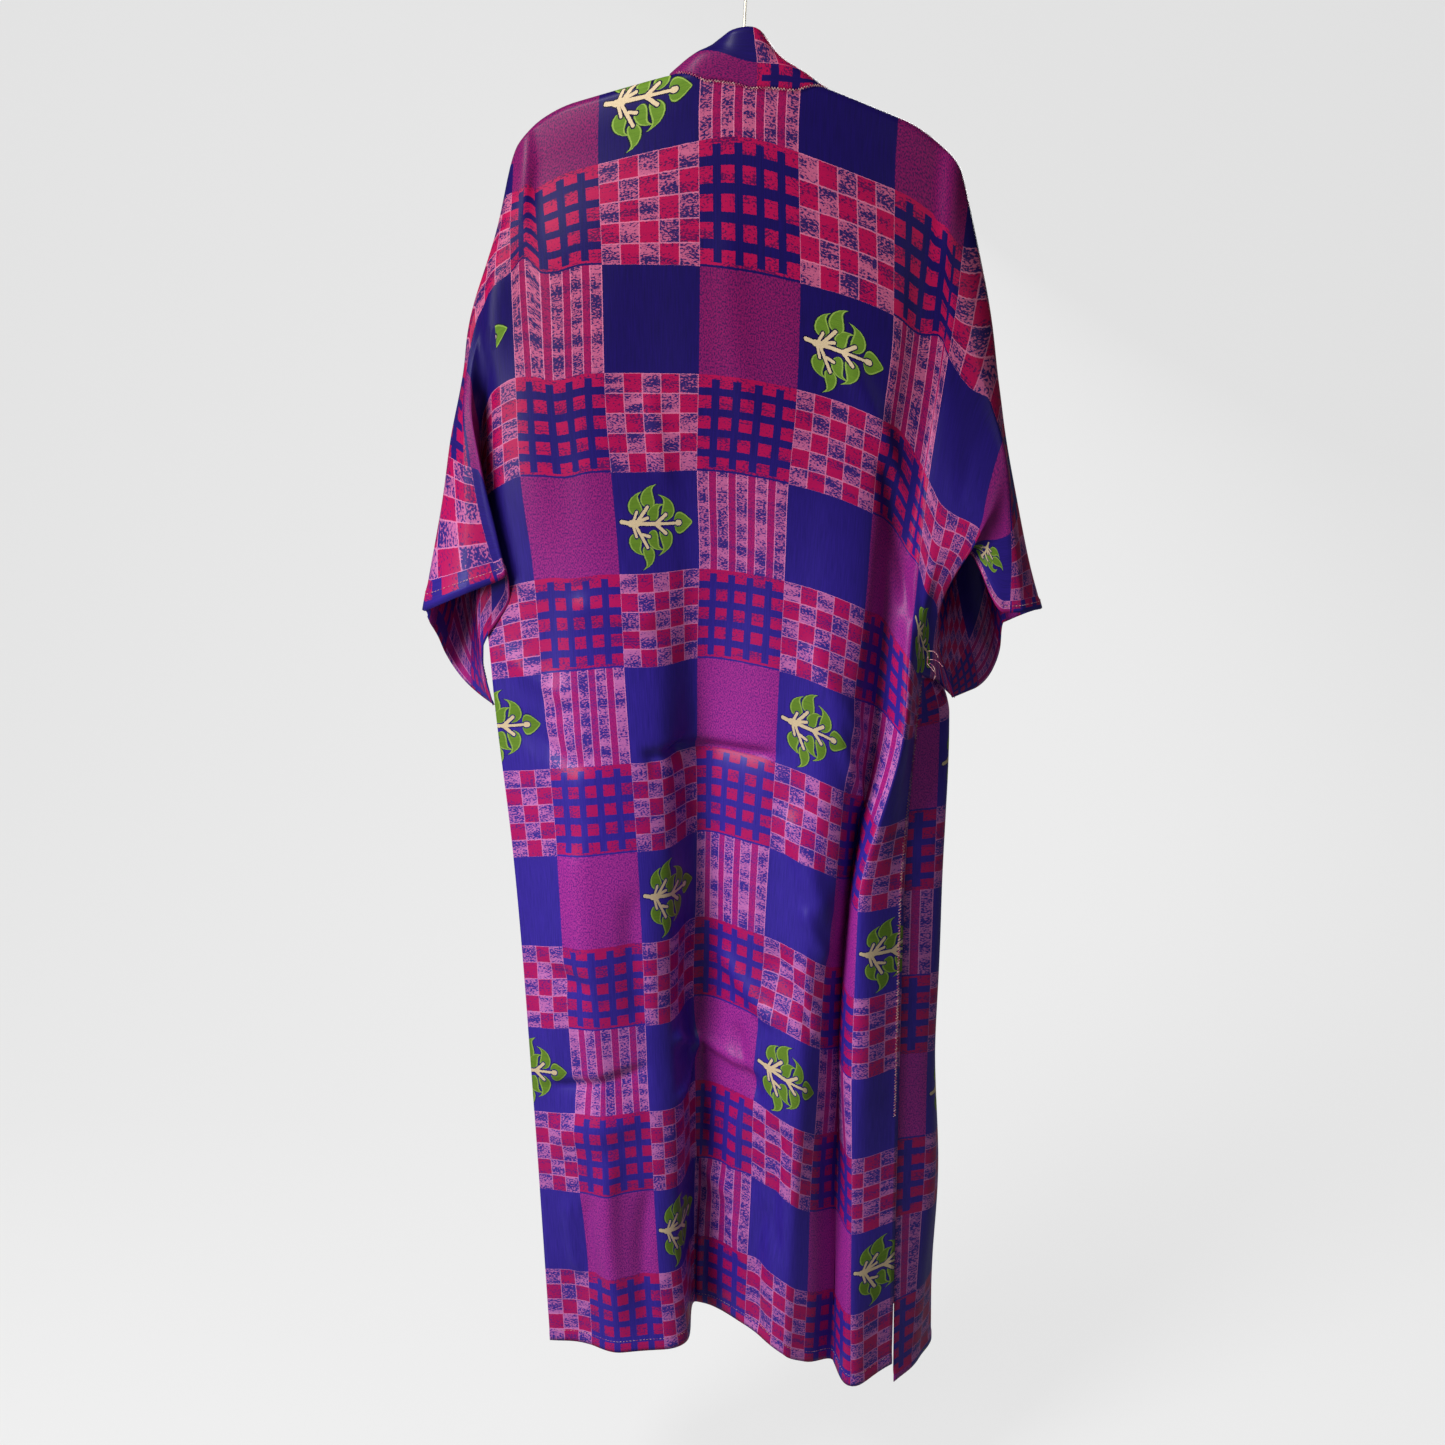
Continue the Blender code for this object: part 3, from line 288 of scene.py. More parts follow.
# Creases pressed into the back: from one end to the other in the flat cloth, how wide, how
# high (minus is a groove), and how one-sided each is
BACK_CREASES = (
    # across   down  across  down  width   height  ledge
    (-0.130, 0.694, -0.070, 0.688, 0.007, -0.0070, 1.0),
    (-0.090, 0.694, 0.045, 0.690, 0.007, -0.0085, 1.0),
    (-0.290, 1.088, -0.160, 1.066, 0.007, -0.0080, 1.0),
    (-0.290, 1.150, -0.170, 1.125, 0.020, 0.0045, 0.0),
    (-0.100, 1.036, -0.048, 1.068, 0.007, 0.0080, 0.8),
    (-0.100, 1.116, -0.046, 1.066, 0.008, 0.0080, 0.2),
    (-0.052, 1.060, 0.052, 1.076, 0.009, 0.0085, 0.9),
    (0.020, 1.040, 0.060, 1.112, 0.010, -0.0050, 0.0),
    (-0.010, 0.950, 0.075, 1.010, 0.012, 0.0055, 0.2),
    (0.060, 0.930, 0.130, 0.990, 0.016, -0.0050, 0.0),
    (0.070, 0.760, 0.140, 0.850, 0.018, 0.0055, 0.0),
    (0.100, 0.860, 0.150, 0.900, 0.012, 0.0050, 0.6),
    (-0.230, 0.800, -0.210, 0.960, 0.018, 0.0045, 0.0),
    (-0.160, 0.860, -0.150, 1.010, 0.016, -0.0045, 0.0),
    (-0.300, 0.930, -0.220, 0.960, 0.014, -0.0050, 0.6),
    (-0.270, 1.240, -0.262, 1.330, 0.008, 0.0050, 0.0),
    (-0.240, 1.235, -0.236, 1.345, 0.008, -0.0045, 0.0),
    (-0.205, 1.180, -0.200, 1.380, 0.012, 0.0045, 0.0),
    (-0.160, 1.230, -0.165, 1.400, 0.011, -0.0040, 0.0),
    (-0.050, 1.210, 0.020, 1.260, 0.014, 0.0050, 0.3),
    (-0.020, 1.290, -0.016, 1.420, 0.011, 0.0045, 0.0),
    (0.030, 1.150, 0.040, 1.330, 0.012, 0.0050, 0.0),
    (0.070, 1.260, 0.074, 1.420, 0.011, -0.0045, 0.0),
    (0.090, 1.140, 0.095, 1.300, 0.011, -0.0050, 0.0),
    (-0.020, 0.130, 0.010, 0.330, 0.016, 0.0024, 0.0),
    (-0.100, 0.300, -0.085, 0.395, 0.010, 0.0024, 0.0),
    (0.100, 0.230, 0.200, 0.330, 0.014, 0.0040, 0.0),
    (0.160, 0.330, 0.250, 0.450, 0.014, -0.0040, 0.0),
    (0.090, 0.560, 0.180, 0.640, 0.014, 0.0045, 0.0),
    (0.120, 0.620, 0.210, 0.720, 0.012, 0.0050, 0.3),
    (-0.300, 0.560, -0.220, 0.620, 0.012, 0.0040, 0.0),
    (-0.290, 0.640, -0.200, 0.700, 0.014, -0.0040, 0.0),
    (-0.200, 0.520, -0.110, 0.540, 0.014, 0.0035, 0.0),
)


def paint(code):
    """A colour from its six-figure code, as light values with a full alpha."""
    parts = [int(code[i:i + 2], 16) / 255 for i in (0, 2, 4)]
    return (*[p / 12.92 if p <= 0.04045 else ((p + 0.055) / 1.055) ** 2.4 for p in parts], 1.0)


# Dyes near the shoulders, and painted light near the hem: the same dyes brighter and bluer, as if the lower
# cloth were lit more
DYES = {
    "navy": paint("1C0E60"),
    "deep navy": paint("0E0930"),
    "crimson": paint("B00C46"),
    "crimson shade": paint("760A42"),
    "crimson fleck": paint("3C0E46"),
    "heather": paint("8E165A"),
    "heather fleck": paint("3C1048"),
    "light": paint("B85C7E"),
    "light shade": paint("8A3058"),
    "light fleck": paint("2A1A54"),
    "outline": paint("D8809E"),
}
# painted light: lit copies of the dyes above, brighter and bluer, for the cloth near the hem
HEM_PAINTED_LIGHT = {
    "navy": paint("3E2AA4"),
    "deep navy": paint("1C1668"),
    "crimson": paint("B41058"),
    "crimson shade": paint("8A1466"),
    "crimson fleck": paint("4C1C78"),
    "heather": paint("B83498"),
    "heather fleck": paint("641A7C"),
    "light": paint("C070B4"),
    "light shade": paint("9C3E8C"),
    "light fleck": paint("38288A"),
    "outline": paint("DC8AC4"),
}
SEWN = {
    "leaf": paint("6A8C28"),
    "leaf light": paint("93AC50"),
    "leaf shade": paint("46661C"),
    "stem": paint("DCC8A4"),
    "stem shade": paint("AA8F6C"),
    "thread": paint("D8A9A4"),
    "thread shade": paint("A03060"),
}

# The sprig in the print, in millimetres from the middle of its square: towards the stem's tip
# and down
TWIGS = (
    # x0     y0     x1     y1   thick
    (-43.0, -2.0, -33.0, 0.0, 2.2),
    (-33.0, 0.0, 2.0, 1.5, 2.0),
    (2.0, 1.5, 24.0, 2.0, 1.5),
    (24.0, 2.0, 26.0, 2.0, 3.0),
    (-33.0, 0.0, -26.0, 0.0, 3.6),
    (-31.0, 0.0, -25.5, -12.0, 1.5),
    (-27.0, 0.0, -12.5, -17.0, 1.8),
    (-23.0, -2.5, -13.0, -5.5, 1.7),
    (-3.0, 1.0, 9.5, -8.0, 1.9),
    (-31.0, 1.0, -27.5, 14.0, 1.5),
    (-28.0, 1.5, -15.0, 26.0, 1.7),
    (-20.0, 12.0, -12.0, 14.5, 1.6),
    (-3.0, 2.0, 8.5, 12.0, 1.9),
)
LEAVES = (
    # x      y     turn  length  wide   bend
    (-27.5, -20.0, -97.0, 12.5, 14.5, 16.0),
    (-12.0, -28.5, -86.0, 13.0, 15.5, 16.0),
    (-5.0, -12.5, -66.0, 11.5, 13.0, 16.0),
    (13.0, -15.5, -88.0, 14.0, 15.0, -18.0),
    (-29.0, 22.5, 88.0, 12.5, 14.0, -16.0),
    (-13.0, 36.5, 84.0, 12.5, 13.0, 16.0),
    (-7.0, 20.5, 74.0, 12.5, 13.0, -16.0),
    (9.5, 20.5, 86.0, 14.0, 14.5, 18.0),
    (31.0, 2.0, 0.0, 11.5, 21.0, 0.0),
)


def curve_through(keys, values, at):
    """Smooth curve through values at the given keys, read at other keys."""
    keys = np.asarray(keys, float)
    values = np.asarray(values, float)
    at = np.asarray(at, float)
    step = np.diff(keys)
    rise = np.diff(values, axis=0) / step.reshape(-1, *([1] * (values.ndim - 1)))
    slope = np.empty_like(values)
    slope[0] = rise[0]
    slope[-1] = rise[-1]
    for i in range(1, len(keys) - 1):
        share = step[i] / (step[i - 1] + step[i])
        least = np.minimum(np.abs(rise[i - 1]), np.abs(rise[i]))
        most = np.where(rise[i - 1] * rise[i] > 0, 3 * least, least)
        slope[i] = np.clip(share * rise[i - 1] + (1 - share) * rise[i], -most, most)
    span = np.clip(np.searchsorted(keys, at, side="right") - 1, 0, len(keys) - 2)
    shape = (-1, *([1] * (values.ndim - 1)))
    width = step[span].reshape(shape)
    t = ((at - keys[span]) / step[span]).reshape(shape)
    start, end = values[span], values[span + 1]
    out, back = slope[span] * width, slope[span + 1] * width
    return (
        start * (2 * t**3 - 3 * t**2 + 1)
        + end * (3 * t**2 - 2 * t**3)
        + out * (t**3 - 2 * t**2 + t)
        + back * (t**3 - t**2)
    )


def hanger_crown(x):
    """Height of the hanger's top edge at a place along the bar, before its tilt."""
    beyond = max(abs(x) - ARM_END, 0.0) / (HANGER_HALF - ARM_END)
    slope = math.tan(ARM_SLOPE) * (math.hypot(x, CROWN_ROUND) - CROWN_ROUND)
    return HANGER_TOP - slope - END_DROP * beyond**2


def hanger_front(x):
    """How far the hanger's middle lies towards the front at a place along the bar."""
    return ARM_FORWARD * (x / HANGER_HALF) ** 2


def tilted(x, y, z):
    """A point of the hanger after it swings about the hook's inner top, right side down."""
    c, s = math.cos(HANGER_TILT), math.sin(HANGER_TILT)
    return (x * c + z * s, y, z * c - x * s)


def over_hanger(x, reach):
    """A place on cloth laid over the arm; reach is the way past the crown to the front."""
    clear = WALL / 2 + SEAT_GAP
    turn = HANGER_THICK / 2 + clear
    quarter = turn * math.pi / 2
    top = hanger_crown(x) + clear
    side = math.copysign(1.0, reach)
    if abs(reach) < quarter:
        angle = reach / turn
        return tilted(x, hanger_front(x) + turn * math.sin(angle), top - turn * (1 - math.cos(angle)))
    return tilted(x, hanger_front(x) + side * turn, top - turn - (abs(reach) - quarter))


def neck_reach(across):
    """How far the back's top edge runs over the hanger: behind it at the neck, over it beyond."""
    keys = [row[0] for row in NECK_EDGE]
    return float(np.interp(abs(across), keys, [row[1] for row in NECK_EDGE]))


def body_columns():
    """The back's cloth lines between the sleeves: their cross places and net points."""
    table = np.array(BACK_PLACES)
    across = table[:, 0]
    place = table[:, 3:]
    depth = np.array(BACK_DEPTHS)[:, 1:]
    sag = table[:, 1:2] + (table[:, 2:3] - table[:, 1:2]) * np.linspace(0, 1, len(BODY_LEVELS))
    height = SHOULDER_Z - HANG_DOWN * np.array(BODY_LEVELS) - sag
    return across, np.stack([place, depth, height, np.tile(BODY_LEVELS, (len(across), 1))], axis=-1)


def arm_place(across):
    """Where a cloth line lies along the hanger's bar."""
    return across + CLOTH_SHIFT


def shoulder_points(across):
    """One cloth line where it lies over the hanger: from its top edge down behind the bar."""
    x = arm_place(across)
    edge = neck_reach(across)
    rows = []
    for number, down in enumerate(SHOULDER_TURN):
        reach = min(-down, edge - 0.0025 * number) if down < FRONT_HOLD else -down
        rows.append((*over_hanger(x, reach), -reach))
    return np.array(rows)


def sleeve_column(places, depths, cloth):
    """Net points of one sleeve cloth line from the shoulder seam to the underarm seam."""
    (across, seam_x, seam_z, out_x, out_z, edge_x, edge_z,
     fold_x, fold_z, tuck_x, tuck_z, arm_x, arm_z) = places
    seam_y, out_y, edge_y, fold_y, tuck_y, arm_y = depths[1:]
    seam_down, out_down, arm_down = cloth[1:]
    inward = -math.copysign(1.0, across)
    turn = min(0.012, 0.3 * (out_down - seam_down))
    lower = max(out_down - 0.005, 0.0)
    return (
        (seam_x, seam_y, seam_z, seam_down),
        (0.4 * seam_x + 0.6 * out_x, 0.4 * seam_y + 0.6 * out_y, 0.4 * seam_z + 0.6 * out_z,
         out_down - 2 * turn),
        (out_x + inward * 0.002, out_y + 0.010, 0.2 * seam_z + 0.8 * out_z, out_down - turn),
        (out_x, out_y, out_z, out_down),
        (out_x + inward * 0.001, out_y - 0.007, out_z, out_down + 0.006),
        (out_x + inward * 0.004, out_y - 0.013, out_z, out_down + 0.012),
        (0.45 * out_x + 0.55 * edge_x, edge_y + 0.004, 0.45 * out_z + 0.55 * edge_z,
         out_down + 0.012 + 0.5 * max(0.170 - lower, 0.004)),
        (edge_x, edge_y, edge_z, max(0.182, out_down + 0.026)),
        (fold_x, fold_y, fold_z, 0.18 + 0.41 * (arm_down - 0.18)),
        (tuck_x, tuck_y, tuck_z, 0.18 + 0.72 * (arm_down - 0.18)),
        (arm_x, arm_y, arm_z, arm_down),
    )


ARM_PLACES = (-0.204, -0.160, -0.110, -0.080, -0.050, 0.0, 0.050, 0.080, 0.110, 0.160, 0.204)
ROW_KEYS = SHOULDER_TURN + BODY_LEVELS


def back_net():
    """Cloth lines of the whole back: keys across, the upper net and the skirt's net."""
    body_across, body = body_columns()
    upper = {}
    for place in ARM_PLACES:
        across = place - CLOTH_SHIFT
        chest = curve_through(body_across, body[:, :4], [across])[0]
        upper[across] = np.concatenate([shoulder_points(across), chest])
    for tables in ((LEFT_PLACES, LEFT_DEPTHS), (RIGHT_PLACES, RIGHT_DEPTHS)):
        for places, depths, cloth in zip(*tables, SLEEVE_CLOTH):
            upper[places[0]] = np.array(sleeve_column(places, depths, cloth))
    keys = sorted(upper)
    top = np.stack([upper[key] for key in keys], axis=0)
    return np.array(keys), top, body_across, body


def column_from_net(keys, top, body_across, body, across):
    """One cloth line of the back: its points at all levels, or to the underarm on a sleeve."""
    upper = curve_through(keys, top, [across])[0]
    if abs(arm_place(across)) < ARM_PLACES[-1]:
        upper[: len(SHOULDER_TURN)] = shoulder_points(across)
    if abs(across) > HALF_BACK + 1e-9:
        return upper
    lower = curve_through(body_across, body[:, 4:], [across])[0]
    return np.concatenate([upper, lower])


def read_column(column, at):
    """Points of one cloth line at the given level keys."""
    down = np.interp(at, ROW_KEYS[: len(column)], column[:, 3])
    return curve_through(column[:, 3], column, down)


def levels_between(parts):
    """Level keys between pairs of marks, with the shared marks once."""
    keys = []
    for start, end, count in parts:
        keys.extend(np.linspace(start, end, count + 1)[(1 if keys else 0):])
    return np.array(keys)


def front_skirt(net, side):
    """The front's cloth lines from the underarm level down: keys across and points."""
    folds = LEFT_FRONT_FOLDS if side < 0 else RIGHT_FRONT_FOLDS
    skirts = {}
    seam = read_column(column_from_net(*net, side * HALF_BACK), FRONT_LEVELS)
    skirts[side * HALF_BACK] = [
        (x - side * UNDERARM_GAP[0], y + UNDERARM_GAP[1], z, level)
        for (x, y, z, _), level in zip(seam, FRONT_LEVELS)
    ]
    if side > 0:
        x, y, z, level = skirts[side * HALF_BACK][-1]
        skirts[side * HALF_BACK][-1] = (x + SLIT_APART, y + 0.3 * SLIT_APART, z - SLIT_DROP, level)
    for across, *spots in folds:
        body = read_column(column_from_net(*net, across), FRONT_LEVELS)
        skirts[across] = [
            (spots[2 * i], spots[2 * i + 1], body[i][2] - FRONT_SAG * i / len(FRONT_LEVELS), level)
            for i, level in enumerate(FRONT_LEVELS)
        ]
    keys = sorted(skirts)
    return keys, np.stack([np.array(skirts[key]) for key in keys])


def front_turn(across):
    """The top of a front's cloth line, from the shoulder seam down the hanger's front face."""
    edge = neck_reach(across) + SEAM_GAP
    reaches = (edge, max(0.008, edge + 0.002), max(0.014, edge + 0.004), FRONT_HOLD)
    return [(*over_hanger(arm_place(across), reach), reach) for reach in reaches]


def front_body_line(across, foot):
    """Cloth line of a front's chest: over the hanger's front face and down to the underarm."""
    points = front_turn(across)
    lead = np.array(points[-1][:3])
    for down in FRONT_CHEST:
        share = (down - FRONT_HOLD) / (ARMHOLE_DEPTH - FRONT_HOLD)
        blend = np.array((share, share**0.8, share))
        points.append((*(lead + (foot[:3] - lead) * blend), down))
    points.append(tuple(foot))
    return np.array(points)


def front_sleeve_line(net, across, foot, cloth):
    """Cloth line of a front's sleeve: from the shoulder seam round to the underarm."""
    line = column_from_net(*net, across)
    first, second = read_column(line, [ROW_KEYS[0], ROW_KEYS[0] + 0.004])[:, :3]
    run = unit(first - second)
    lead = first + run * SEAM_GAP
    share = max((abs(across) - HALF_BACK) / (CUFF_ACROSS - HALF_BACK), 0.0)
    side = math.copysign(1, across)
    outwards, forwards, down = CUFF_SLACK[side]
    belly = np.array((side * outwards * share, 0.024 + (forwards - 0.024) * share, -down * share))
    points = [lead + run * step for step in SLEEVE_TURN]
    near = points[-1]
    for step in SLEEVE_STEPS:
        point = near + (foot[:3] - near) * step
        points.append(point + belly * math.sin(math.pi * step) * (1 - 0.2 * step))
    points.append(foot[:3])
    start = cloth[1] + 2 * SHOULDER_OVERLAP
    steps = np.array((0.0, *SLEEVE_STEPS, 1.0))
    near_down = start + SLEEVE_TURN[-1]
    down = np.concatenate([start + np.array(SLEEVE_TURN[:-1]), near_down + steps * (cloth[3] - near_down)])
    return np.column_stack([np.array(points), down])


def unit(vector):
    """The vector at length one."""
    vector = np.asarray(vector, float)
    return vector / np.linalg.norm(vector)


def band_section(seam, lift, edge):
    """The band's width at one place, from its seam over a middle point to its free edge."""
    seam, lift, edge = (np.asarray(point, float)[:3] for point in (seam, lift, edge))
    start = seam + unit(lift - seam) * BAND_OFF
    keys = (0.0, 0.42, 1.0)
    return curve_through(keys, np.stack([start, lift, edge]), np.linspace(0, 1, 5))


def neck_sections():
    """The band behind the neck, from the left neck corner to the right one."""
    keys = [row[0] for row in BAND_NECK]
    table = np.array(BAND_NECK)[:, 1:]
    sections = []
    for across in levels_between(NECK_SPANS):
        edge_x, deep, rise, lift_deep, lift_rise = curve_through(keys, table, [across])[0]
        seam = shoulder_points(across)[0]
        place = arm_place(across)
        edge = tilted(edge_x, deep, HANGER_TOP + rise)
        lift = tilted(place, lift_deep, hanger_crown(place) + lift_rise)
        sections.append(band_section(seam, lift, edge))
    return sections


def front_sections(edge_line, side):
    """The band down a front's edge: it leans forward at the neck and lies flat below."""
    sections = []
    top = edge_line[0][2]
    for point in edge_line[1:]:
        below = min((top - point[2]) / BAND_SETTLES, 1.0)
        ease = below * below * (3 - 2 * below)
        top_lean, low_lean = (unit((-side * inwards, *rest)) for inwards, *rest in BAND_LEAN)
        lean = top_lean * (1 - ease) + low_lean * ease
        edge = point[:3] + unit(lean) * BAND_WIDTH
        crest = point[:3] + unit(lean) * 0.45 * BAND_WIDTH + np.array((0.0, 0.004, 0.003))
        sections.append(band_section(point, crest, edge))
    return sections


def levels_with_fine_turn():
    """Level keys down the yoke: close together over the hanger, even below it."""
    turn = np.array(SHOULDER_TURN)
    between = (turn[:-1] + turn[1:]) / 2
    chest = levels_between(((SHOULDER_TURN[-1], ARMHOLE_DEPTH, CHEST_ROWS),))
    return np.concatenate([np.sort(np.concatenate([turn, between[:-1]])), chest[1:]])


def cloth_grid(lines):
    """Cloth lines of unequal length as one grid, with nothing where a line has ended."""
    rows = max(len(line) for line in lines)
    grid = np.full((len(lines), rows, 4), np.nan)
    for column, line in enumerate(lines):
        grid[column, : len(line)] = line
    return grid


def grid_steps(grid, axis):
    """Step from each point of a grid to its neighbours along one of its two ways."""
    points = np.moveaxis(grid[..., :3], axis, 0)
    forward = np.full_like(points, np.nan)
    forward[:-1] = points[1:] - points[:-1]
    back = np.full_like(points, np.nan)
    back[1:] = forward[:-1]
    step = np.where(np.isnan(forward), back, np.where(np.isnan(back), forward, (forward + back) / 2))
    return np.moveaxis(step, 0, axis)


def outward(grid, facing):
    """Direction out of the robe at each point of a grid; facing is -1 for its back."""
    normal = np.cross(grid_steps(grid, 0), grid_steps(grid, 1))
    length = np.linalg.norm(normal, axis=-1, keepdims=True)
    normal = normal / np.where(length > 0, length, 1)
    middle = normal[len(grid) // 2, 2 * grid.shape[1] // 3, 1] if len(grid) > 100 else 0
    if middle == 0 or np.isnan(middle):
        middle = np.nanmean(normal[..., 1])
    return normal * facing * math.copysign(1.0, middle)


def creased(across, down, creases):
    """Height of the pressed creases over the flat cloth."""
    height = np.zeros_like(down)
    for a0, d0, a1, d1, width, rise, ledge in creases:
        run = np.array((a1 - a0, d1 - d0))
        length = np.hypot(*run)
        run = run / length
        along = (across - a0) * run[0] + (down - d0) * run[1]
        beside = (across - a0) * run[1] - (down - d0) * run[0]
        beside = beside + 0.06 * length * np.sin(along / length * 2.6)
        ends = eased(np.minimum(along, length - along) / (0.3 * length) + 0.5, 0, 1)
        near = np.exp(-((beside / width) ** 2))
        slope = np.where(beside * np.sign(rise) > 0, np.exp(-np.abs(beside) / (3 * width)), near)
        height += rise * ends * (near * (1 - ledge) + slope * ledge)
    return height


def rippled(across, down, seed):
    """Small uneven waves of hanging satin: mostly upright, a few slanting, deeper lower down."""
    height = np.zeros_like(down)
    waves = (
        # across   down   height  start
        (24.0, 1.5, 0.0011, 0.3),
        (41.0, -2.0, 0.0007, 1.9),
        (63.0, 4.0, 0.0004, 4.1),
        (13.0, 9.0, 0.0010, 2.7),
        (31.0, -12.0, 0.0006, 5.2),
        (9.0, 23.0, 0.0005, 0.9),
    )
    for side, length, rise, start in waves:
        height += rise * np.sin(side * across + length * down + start + seed)
    return height * (0.8 + 2.0 * eased(down, 0.45, 1.05))


def hem_ledge(from_edge):
    """How far a hem stands out where it is turned in, by the distance from its edge."""
    return HEM_LIFT * (1 - eased(from_edge, HEM_TURN - HEM_SLOPE[0], HEM_TURN + HEM_SLOPE[1]))


def eased(value, start, end):
    """Rises smoothly from 0 to 1 between two values."""
    share = np.clip((value - start) / (end - start), 0, 1)
    return share * share * (3 - 2 * share)


def straight(across, down):
    """The back is cut with the print's squares in their own order."""
    return across, down


def turned_round(across, down):
    """The fronts are cut from the cloth turned round."""
    return PRINT_TURN[0] * (1 if across > 0 else -1) - across, PRINT_TURN[1] - down


def band_place(along, over):
    """The band is cut along the cloth, with a square's edge in the middle of its width."""
    return BAND_PRINT[0] - over, BAND_PRINT[1] + along


def cloth_piece(name, grid, across, wall, layout):
    """A sheet of cloth from a grid, with its place in the print as a map."""
    mesh = bpy.data.meshes.new(name)
    sheet = bmesh.new()
    flat = sheet.loops.layers.uv.new("flat cloth")
    corners = {}
    for column in range(grid.shape[0]):
        for row in range(grid.shape[1]):
            if not np.isnan(grid[column, row, 0]):
                corners[column, row] = sheet.verts.new(tuple(grid[column, row, :3]))
    measures = {}
    for (column, row), corner in corners.items():
        measures[corner] = layout(across[column, row], grid[column, row, 3])
    for column in range(grid.shape[0] - 1):
        for row in range(grid.shape[1] - 1):
            ring = [(column, row), (column, row + 1), (column + 1, row + 1), (column + 1, row)]
            if all(spot in corners for spot in ring):
                face = sheet.faces.new([corners[spot] for spot in ring])
                for loop in face.loops:
                    loop[flat].uv = measures[loop.vert]
    bmesh.ops.recalc_face_normals(sheet, faces=sheet.faces)
    sheet.to_mesh(mesh)
    sheet.free()
    piece = bpy.data.objects.new(name, mesh)
    bpy.context.scene.collection.objects.link(piece)
    mesh.shade_smooth()
    thick = piece.modifiers.new("cloth wall", "SOLIDIFY")
    thick.thickness = wall
    thick.offset = 0.0
    return piece


def fine_back(net):
    """The back with its cut-on sleeve backs: its grid and the flat place of each point."""
    sides = levels_between(SIDE_SPANS)
    keys = np.concatenate([-sides[:0:-1], levels_between(NECK_SPANS), sides[1:]])
    yoke = levels_with_fine_turn()
    skirt = levels_between(((ARMHOLE_DEPTH, ROBE_LENGTH, SKIRT_ROWS),))[1:]
    lines = []
    for across in keys:
        line = column_from_net(*net, across)
        at = yoke if abs(across) > HALF_BACK + 1e-9 else np.concatenate([yoke, skirt])
        lines.append(read_column(line, at))
    grid = cloth_grid(lines)
    return grid, np.repeat(keys[:, None], grid.shape[1], axis=1)


def fine_front(net, side):
    """One front with its cut-on sleeve front: its grid and the flat place of each point."""
    skirt_keys, foot = front_skirt(net, side)
    columns = {}
    arm_end = abs(side * ARM_PLACES[-1] - CLOTH_SHIFT)
    for start in (*FRONT_STARTS, arm_end):
        across = side * start
        columns[across] = front_body_line(across, curve_through(skirt_keys, foot[:, 0], [across])[0])
    for row, cloth in zip(LEFT_PLACES if side < 0 else RIGHT_PLACES, SLEEVE_CLOTH):
        across = row[0]
        under = read_column(column_from_net(*net, across), [ARMHOLE_DEPTH])[0]
        under[:2] += (-side * UNDERARM_GAP[0], UNDERARM_GAP[1])
        if abs(across) < HALF_BACK:
            under = curve_through(skirt_keys, foot[:, 0], [across])[0]
        columns[across] = front_sleeve_line(net, across, under, cloth)
    keys = sorted(columns)
    top = np.stack([columns[key] for key in keys])
    cross = np.array(sorted(side * levels_between(SIDE_SPANS)))
    skirt = levels_between(((ARMHOLE_DEPTH, ROBE_LENGTH, SKIRT_ROWS),))[1:]
    lines = []
    for across in cross:
        line = curve_through(keys, top, [across])[0]
        turn = len(line) - len(FRONT_CHEST) - 1
        if abs(arm_place(across)) < ARM_PLACES[-1]:
            line[:turn] = front_turn(across)
        first = np.sort(np.concatenate([line[:turn, 3], (line[: turn - 1, 3] + line[1:turn, 3]) / 2]))
        chest = np.linspace(line[turn - 1, 3], line[-1, 3], CHEST_ROWS + 1)
        at = np.concatenate([first, chest[1:]])
        if abs(across) < HALF_BACK + 1e-9:
            line = np.concatenate([line[:-1], curve_through(skirt_keys, foot, [across])[0]])
            at = np.concatenate([at, skirt])
        lines.append(curve_through(line[:, 3], line, at))
    grid = cloth_grid(lines)
    return grid, np.repeat(cross[:, None], grid.shape[1], axis=1)


def fine_sections(sections):
    """The band's widths along its length, drawn finely, as a grid with its distance from the seam."""
    grid = np.full((len(sections), BAND_ROWS, 4), np.nan)
    for number, section in enumerate(sections):
        keys = np.linspace(0, 1, len(section))
        grid[number, :, :3] = curve_through(keys, section, np.linspace(0, 1, BAND_ROWS))
        grid[number, :, 3] = np.linspace(0, BAND_WIDTH, BAND_ROWS)
    return grid


def way_along(points):
    """Distance from the first point along a line of points."""
    steps = np.linalg.norm(np.diff(points, axis=0), axis=1)
    return np.concatenate([[0.0], np.cumsum(steps)])


def tube(name, paths, thick, sides=6):
    """Round threads along lines of points, as one mesh."""
    mesh = bpy.data.meshes.new(name)
    thread = bmesh.new()
    for path in paths:
        path = np.asarray(path, float)
        rings = []
        for spot in range(len(path)):
            run = unit(path[min(spot + 1, len(path) - 1)] - path[max(spot - 1, 0)])
            side = unit(np.cross(run, (0.31, 0.87, 0.38)))
            up = np.cross(side, run)
            ring = []
            for step in range(sides):
                angle = 2 * math.pi * step / sides
                round_place = side * math.cos(angle) + up * math.sin(angle)
                ring.append(thread.verts.new(tuple(path[spot] + round_place * thick / 2)))
            rings.append(ring)
        for first, second in zip(rings, rings[1:]):
            for step in range(sides):
                after = (step + 1) % sides
                thread.faces.new((first[step], first[after], second[after], second[step]))
        thread.faces.new(rings[0][::-1])
        thread.faces.new(rings[-1])
    bmesh.ops.recalc_face_normals(thread, faces=thread.faces)
    thread.to_mesh(mesh)
    thread.free()
    piece = bpy.data.objects.new(name, mesh)
    bpy.context.scene.collection.objects.link(piece)
    mesh.shade_smooth()
    return piece


